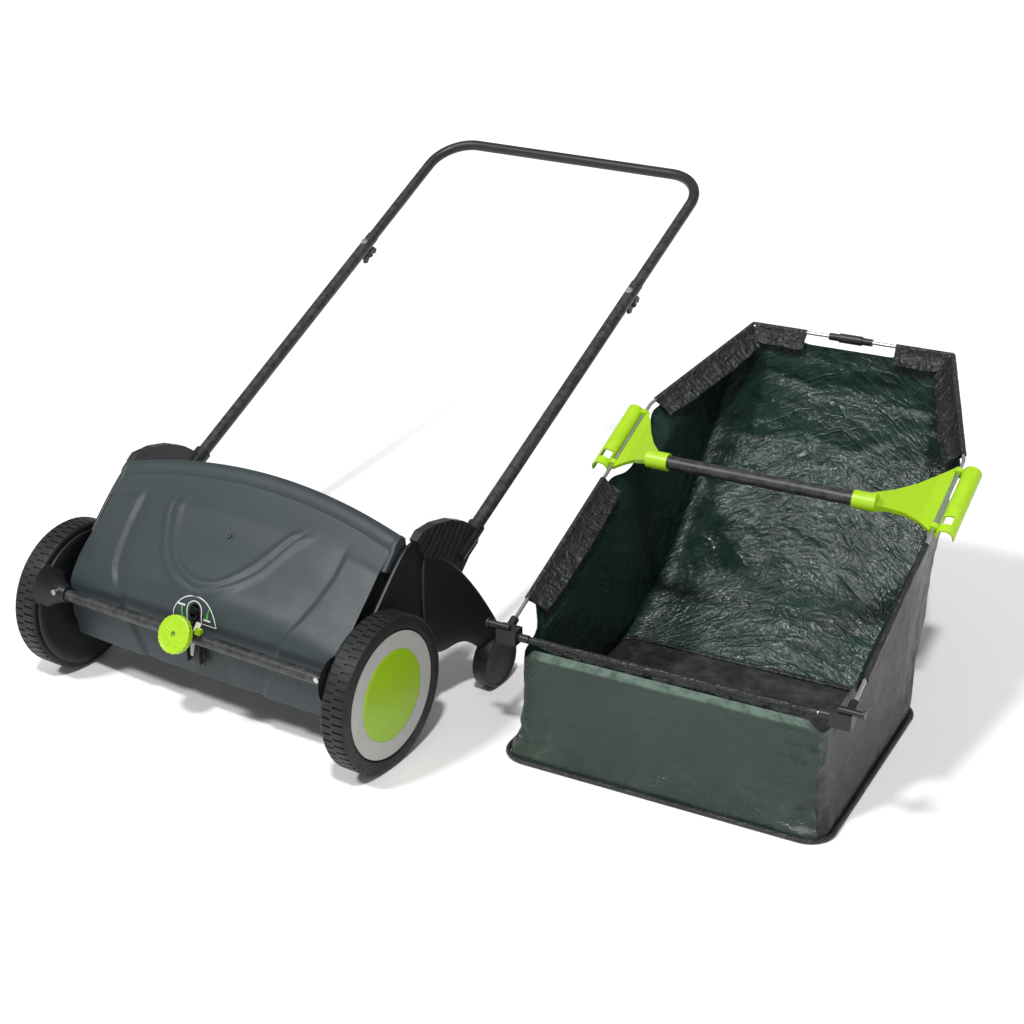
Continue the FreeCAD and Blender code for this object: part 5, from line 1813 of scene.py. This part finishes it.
    def colour_panels(self, piece: bpy.types.Object) -> None:
        """Green inside and in front, black cloth outside on the sides and back."""
        mesh = piece.data
        count = len(mesh.polygons)
        centres = np.zeros(count * 3)
        normals = np.zeros(count * 3)
        mesh.polygons.foreach_get("center", centres)
        mesh.polygons.foreach_get("normal", normals)
        centres, normals = centres.reshape(-1, 3), normals.reshape(-1, 3)
        local = centres - np.array(self.layout.corner)
        across, back = np.array(self.layout.across), np.array(self.layout.back)
        a, b = local @ across / MM, local @ back / MM
        out = np.stack([a, (b - 260.0)], axis=1)
        facing = (normals @ across) * out[:, 0] + (normals @ back) * out[:, 1]
        outside = facing > 0.0
        in_front = (normals @ back < -0.55) & (b < 60.0)
        index = np.where(outside & in_front, 1, np.where(outside, 2, 0))
        index[(normals[:, 2] < -0.8) & (centres[:, 2] < 0.004)] = 2
        mesh.polygons.foreach_set("material_index", index.astype(np.int32))
        mesh.update()


@dataclass
class Sleeve:
    """A strip of black cloth folded round a rod and sewn to the bag.

    Attributes:
        start: First point of the rod's line, in collector coordinates.
        end: Last point.
        inward: Direction that the doubled band hangs in.
        band: Band width in millimetres.
        seed: Shift of its creases.
        taper: Share of the band's width lost at both ends.
        stations: Mesh rows along the rod.
        radius: Radius of the cloth round the rod in millimetres.
        cloth: Cloth thickness in millimetres.
    """

    layout: Layout
    finishes: Finishes
    name: str
    nodes: tuple
    start: np.ndarray
    end: np.ndarray
    inward: tuple
    band: float
    seed: float = 0.0
    taper: float = 0.12
    stations: int = 120
    radius: float = 4.6
    cloth: float = 0.9

    def section(self, width: float) -> np.ndarray:
        """Line (side, inward) of the folded strip, from one edge round to the other."""
        limb = np.linspace(1.0, 0.26, 12)
        flare = 0.95 + 2.6 * (1.0 - limb) ** 3
        turns = math.pi * np.linspace(-0.14, 1.14, 17)
        loop = [(side, width * t) for side, t in zip(flare, limb)]
        loop += [(self.radius * math.cos(turn), -self.radius * math.sin(turn))
                 for turn in turns]
        loop += [(-side, (width - 1.2) * t) for side, t in zip(flare[::-1], limb[::-1])]
        return np.array(loop)

    def build(self) -> bpy.types.Object:
        along = (self.end - self.start) / np.linalg.norm(self.end - self.start)
        inward = np.array(self.inward, float)
        inward -= along * (inward @ along)
        inward /= np.linalg.norm(inward)
        side = np.cross(along, inward)
        length = np.linalg.norm(self.end - self.start)
        rows, arcs = [], []
        for t in np.linspace(0.0, 1.0, self.stations):
            narrow = 1.0 - self.taper * (1.0 - math.sin(math.pi * t)) ** 2
            loop = self.section(self.band * narrow)
            rows.append(self.start + along * length * t
                        + side * loop[:, :1] + inward * loop[:, 1:])
            arcs.append(np.concatenate([[0.0], np.cumsum(np.linalg.norm(
                np.diff(loop, axis=0), axis=1))]))
        points = np.array(rows)
        count = points.shape[1]
        flat = points.reshape(-1, 3)
        reach = ((flat - self.start) @ inward).reshape(points.shape[:2])
        loose = ease(reach, -2.0, self.band)
        run = ((flat - self.start) @ along).reshape(points.shape[:2])
        wave = rolling(np.stack([run.ravel(), 0.25 * reach.ravel(),
                                 0 * run.ravel()], axis=1), 26.0, self.seed).reshape(run.shape)
        fine = ridged(flat, 15.0, self.seed + 9.0, 2.0).reshape(run.shape)
        tight = np.sin(run * (2.0 * math.pi / 9.0) + 3.0 * wave)
        move = wave * 3.4 * loose + (fine - 0.4) * 2.0 * (0.35 + loose) + tight * 0.7 * loose
        points = points + side * move[..., None]
        edge = rolling(np.stack([run.ravel(), 0 * run.ravel(), 0 * run.ravel()], axis=1),
                       34.0, self.seed + 3.0).reshape(run.shape)
        points = points + inward * (edge * 1.6 * loose)[..., None]
        uv = np.zeros((self.stations, count, 2))
        uv[..., 0] = np.array(arcs)
        uv[..., 1] = np.linspace(0.0, length, self.stations)[:, None]
        piece = Bench.grid(self.name, self.layout.collector_grid(points), False, uv * MM)
        Bench.apply(piece, "SOLIDIFY", thickness=self.cloth * MM, offset=0.0)
        Bench.outwards(piece)
        Bench.smooth(piece, 60.0)
        Bench.finish(piece, "collector", [self.finishes.made["cloth_black"]], self.nodes,
                     "hem_black")
        return piece


@dataclass
class Piping:
    """The thick bound edge round the bag's floor.

    Attributes:
        front: Front line of the binding's centre.
        rear: Rear line.
        half: Half width.
        radius: Corner radius.
        thick: Radius of the binding.
    """

    layout: Layout
    finishes: Finishes
    front: float = 1.4
    rear: float = 449.6
    half: float = 262.6
    radius: float = 40.6
    thick: float = 3.9

    def path(self) -> np.ndarray:
        """Closed rounded rectangle of evenly spaced points."""
        corners = ((self.half, self.front, -90.0), (self.half, self.rear, 0.0),
                   (-self.half, self.rear, 90.0), (-self.half, self.front, 180.0))
        points = []
        for a, b, start in corners:
            ca = a - math.copysign(self.radius, a)
            cb = b + self.radius if b == self.front else b - self.radius
            for degree in np.linspace(start, start + 90.0, 15):
                angle = math.radians(degree)
                points.append((ca + self.radius * math.cos(angle),
                               cb + self.radius * math.sin(angle)))
        points = np.array(points + points[:1])
        run = np.concatenate([[0.0], np.cumsum(np.linalg.norm(np.diff(points, axis=0), axis=1))])
        even = np.linspace(0.0, run[-1], 420, endpoint=False)
        return np.stack([np.interp(even, run, points[:, 0]),
                         np.interp(even, run, points[:, 1])], axis=1)

    def build(self) -> bpy.types.Object:
        """Model the binding as a puckered closed roll."""
        path = self.path()
        ahead = np.roll(path, -1, axis=0) - np.roll(path, 1, axis=0)
        ahead /= np.linalg.norm(ahead, axis=1, keepdims=True)
        out = np.stack([ahead[:, 1], -ahead[:, 0]], axis=1)
        spots = np.column_stack([path, np.zeros(len(path))])
        pucker = rolling(spots, 13.0, 5.0) * 0.35 + rolling(spots, 60.0, 2.0) * 0.2
        rows = []
        for angle in np.linspace(0.0, 2.0 * math.pi, 17):
            reach = self.thick * (1.0 + 0.12 * pucker)
            ring = np.zeros((len(path), 3))
            ring[:, :2] = path + out * (reach * math.cos(angle))[:, None]
            ring[:, 2] = 4.05 + self.thick * 0.98 * math.sin(angle) * (1.0 + 0.06 * pucker)
            rows.append(ring)
        points = np.array(rows)
        length = np.linalg.norm(np.diff(np.vstack([path, path[:1]]), axis=0), axis=1)
        uv = np.zeros((17, len(path) + 1, 2))
        uv[:, 1:, 0] = np.cumsum(length)
        uv[..., 1] = np.linspace(0.0, 2.0 * math.pi * self.thick, 17)[:, None]
        piece = Bench.grid("base_binding", self.layout.collector_grid(points), True, uv * MM)
        Bench.edit_all(piece, bpy.ops.mesh.remove_doubles, threshold=0.00001)
        Bench.outwards(piece)
        Bench.smooth(piece, 60.0)
        Bench.finish(piece, "collector", [self.finishes.made["cloth_black"]],
                     ["base_piping"], "hem_black")
        return piece


@dataclass
class Collector:
    """The rod frame, brackets, bag and hems."""

    layout: Layout
    finishes: Finishes

    def dress(self) -> None:
        """Give the collector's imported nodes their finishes."""
        self.finishes.dress({
            "steel_zinc": (*pairs("side_rod"), "front_rod"),
            "joint_black": (*pairs("corner_connector"), "middle_connector"),
            "knob_lime": pairs("handle_bracket"),
            "tube_charcoal": ("cross_tube",),
            "board_black": ("base_board",),
        })

    def sleeves(self, plane: RodFrame) -> None:
        """Build the hems round the side rods, the top rod and the front rod."""
        for sign, side in ((1.0, "right"), (-1.0, "left")):
            rod, bend = plane.rod, plane.point(sign * plane.rod, plane.bend)
            hang = (-0.30 * sign, 0.0, -0.95) if sign > 0 else (0.8, 0.0, -0.6)
            Sleeve(self.layout, self.finishes, f"lower_sleeve_cloth_{side}",
                   (f"lower_sleeve_{side}",), plane.point(sign * rod, 108.0),
                   plane.point(sign * rod, 372.0), hang, 41.0, 4.0 + sign).build()
            span = plane.point(sign * plane.top, plane.rear) - bend
            Sleeve(self.layout, self.finishes, f"upper_sleeve_cloth_{side}",
                   (f"upper_sleeve_{side}",), bend + span * 0.05, bend + span * 1.0,
                   (-0.66 * sign, -0.26, -0.70), 41.0, 14.0 + sign).build()
            Sleeve(self.layout, self.finishes, f"top_sleeve_cloth_{side}",
                   (f"top_sleeve_{side}",), plane.point(sign * 178.0, plane.rear),
                   plane.point(sign * 80.0, plane.rear), (0.0, -0.55, -0.84), 33.0,
                   24.0 + sign, 0.0, 60).build()
        Sleeve(self.layout, self.finishes, "front_hem_cloth", ("front_hem",),
               plane.point(-228.0, 35.0), plane.point(226.0, 35.0), (0.0, -0.15, -1.0),
               20.0, 31.0, 0.75, 180).build()

    def build(self) -> None:
        """Dress the nodes and model the soft pieces."""
        self.dress()
        plane = RodFrame(self.layout)
        self.sleeves(plane)
        Bag(plane, self.layout, self.finishes).build()
        Piping(self.layout, self.finishes).build()


# ---- studio -----------------------------------------------------------------------------


@dataclass
class Studio:
    """Pale floor, soft lights and the camera.

    Attributes:
        eye: Camera place in sweeper millimetres.
        aim: Point that it looks at, in metres.
        lens: Focal length in millimetres on a 36 mm sensor.
        air: Strength of the white surroundings.
        paper: Colour of the floor.
        suns: Name, direction, spread and power of each distant light.
    """

    layout: Layout
    eye: tuple = (1784.03, -1936.64, 1505.32)
    aim: tuple = (-0.06464, -0.04735, 0.250)
    lens: float = 64.89
    air: float = 0.33
    paper: Colour = (0.93, 0.93, 0.93)
    suns: tuple = (("front_sun", (0.24, -0.44, 0.865), 4.5, 1.9),
                   ("side_sun", (-0.28, -0.56, 0.78), 7.0, 1.8))

    def floor(self) -> None:
        """A wide flat floor."""
        Bench.clear()
        bpy.ops.mesh.primitive_plane_add(size=60.0, location=(0.0, 0.0, 0.0))
        floor = Bench.named("studio_floor")
        material, graph, shader = fresh_material("studio_paper")
        graph.feed(shader.inputs["Base Color"], (*self.paper, 1.0))
        graph.feed(shader.inputs["Roughness"], 0.9)
        graph.feed(shader.inputs["Specular IOR Level"], 0.1)
        floor.data.materials.append(material)

    def sun(self, name: str, towards: Colour, spread: float, power: float) -> None:
        """A distant light with soft-edged shadows.

        Args:
            name: Name of the light.
            towards: Direction from the object to the light.
            spread: Apparent diameter in degrees.
            power: Strength.
        """
        Bench.clear()
        turn = (-Vector(towards)).to_track_quat("-Z", "Y").to_euler()
        bpy.ops.object.light_add(type="SUN", location=Vector(towards) * 4.0, rotation=turn)
        lamp = bpy.context.object
        lamp.name = name
        lamp.data.angle = math.radians(spread)
        lamp.data.energy = power

    def lights(self) -> None:
        """White surroundings and two distant lights."""
        world = bpy.data.worlds.new("studio_air")
        world.use_nodes = True
        world.node_tree.nodes["Background"].inputs[0].default_value = (1.0, 1.0, 1.0, 1.0)
        world.node_tree.nodes["Background"].inputs[1].default_value = self.air
        bpy.context.scene.world = world
        for sun in self.suns:
            self.sun(*sun)

    def camera(self) -> None:
        """The camera at the viewing angle."""
        Bench.clear()
        place = self.layout.sweeper(*self.eye)
        heading = Vector(self.aim) - place
        bpy.ops.object.camera_add(location=place,
                                  rotation=heading.to_track_quat("-Z", "Y").to_euler())
        camera = bpy.context.object
        camera.name = "studio_camera"
        camera.data.sensor_width = 36.0
        camera.data.lens = self.lens
        camera.data.clip_end = 100.0
        bpy.context.scene.camera = camera
        bpy.context.scene.view_settings.view_transform = "Standard"

    def build(self) -> None:
        """Set up the studio."""
        self.floor()
        self.lights()
        self.camera()


def main() -> None:
    """Build everything, logging each new piece's face count."""
    logging.basicConfig(level=logging.INFO, format="%(name)s: %(message)s")
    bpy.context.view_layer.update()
    layout = Layout()
    finishes = Finishes(layout)
    Studio(layout).build()
    Sweeper(layout, finishes).build()
    Collector(layout, finishes).build()
    Bench.clear()


if __name__ == "__main__":
    main()
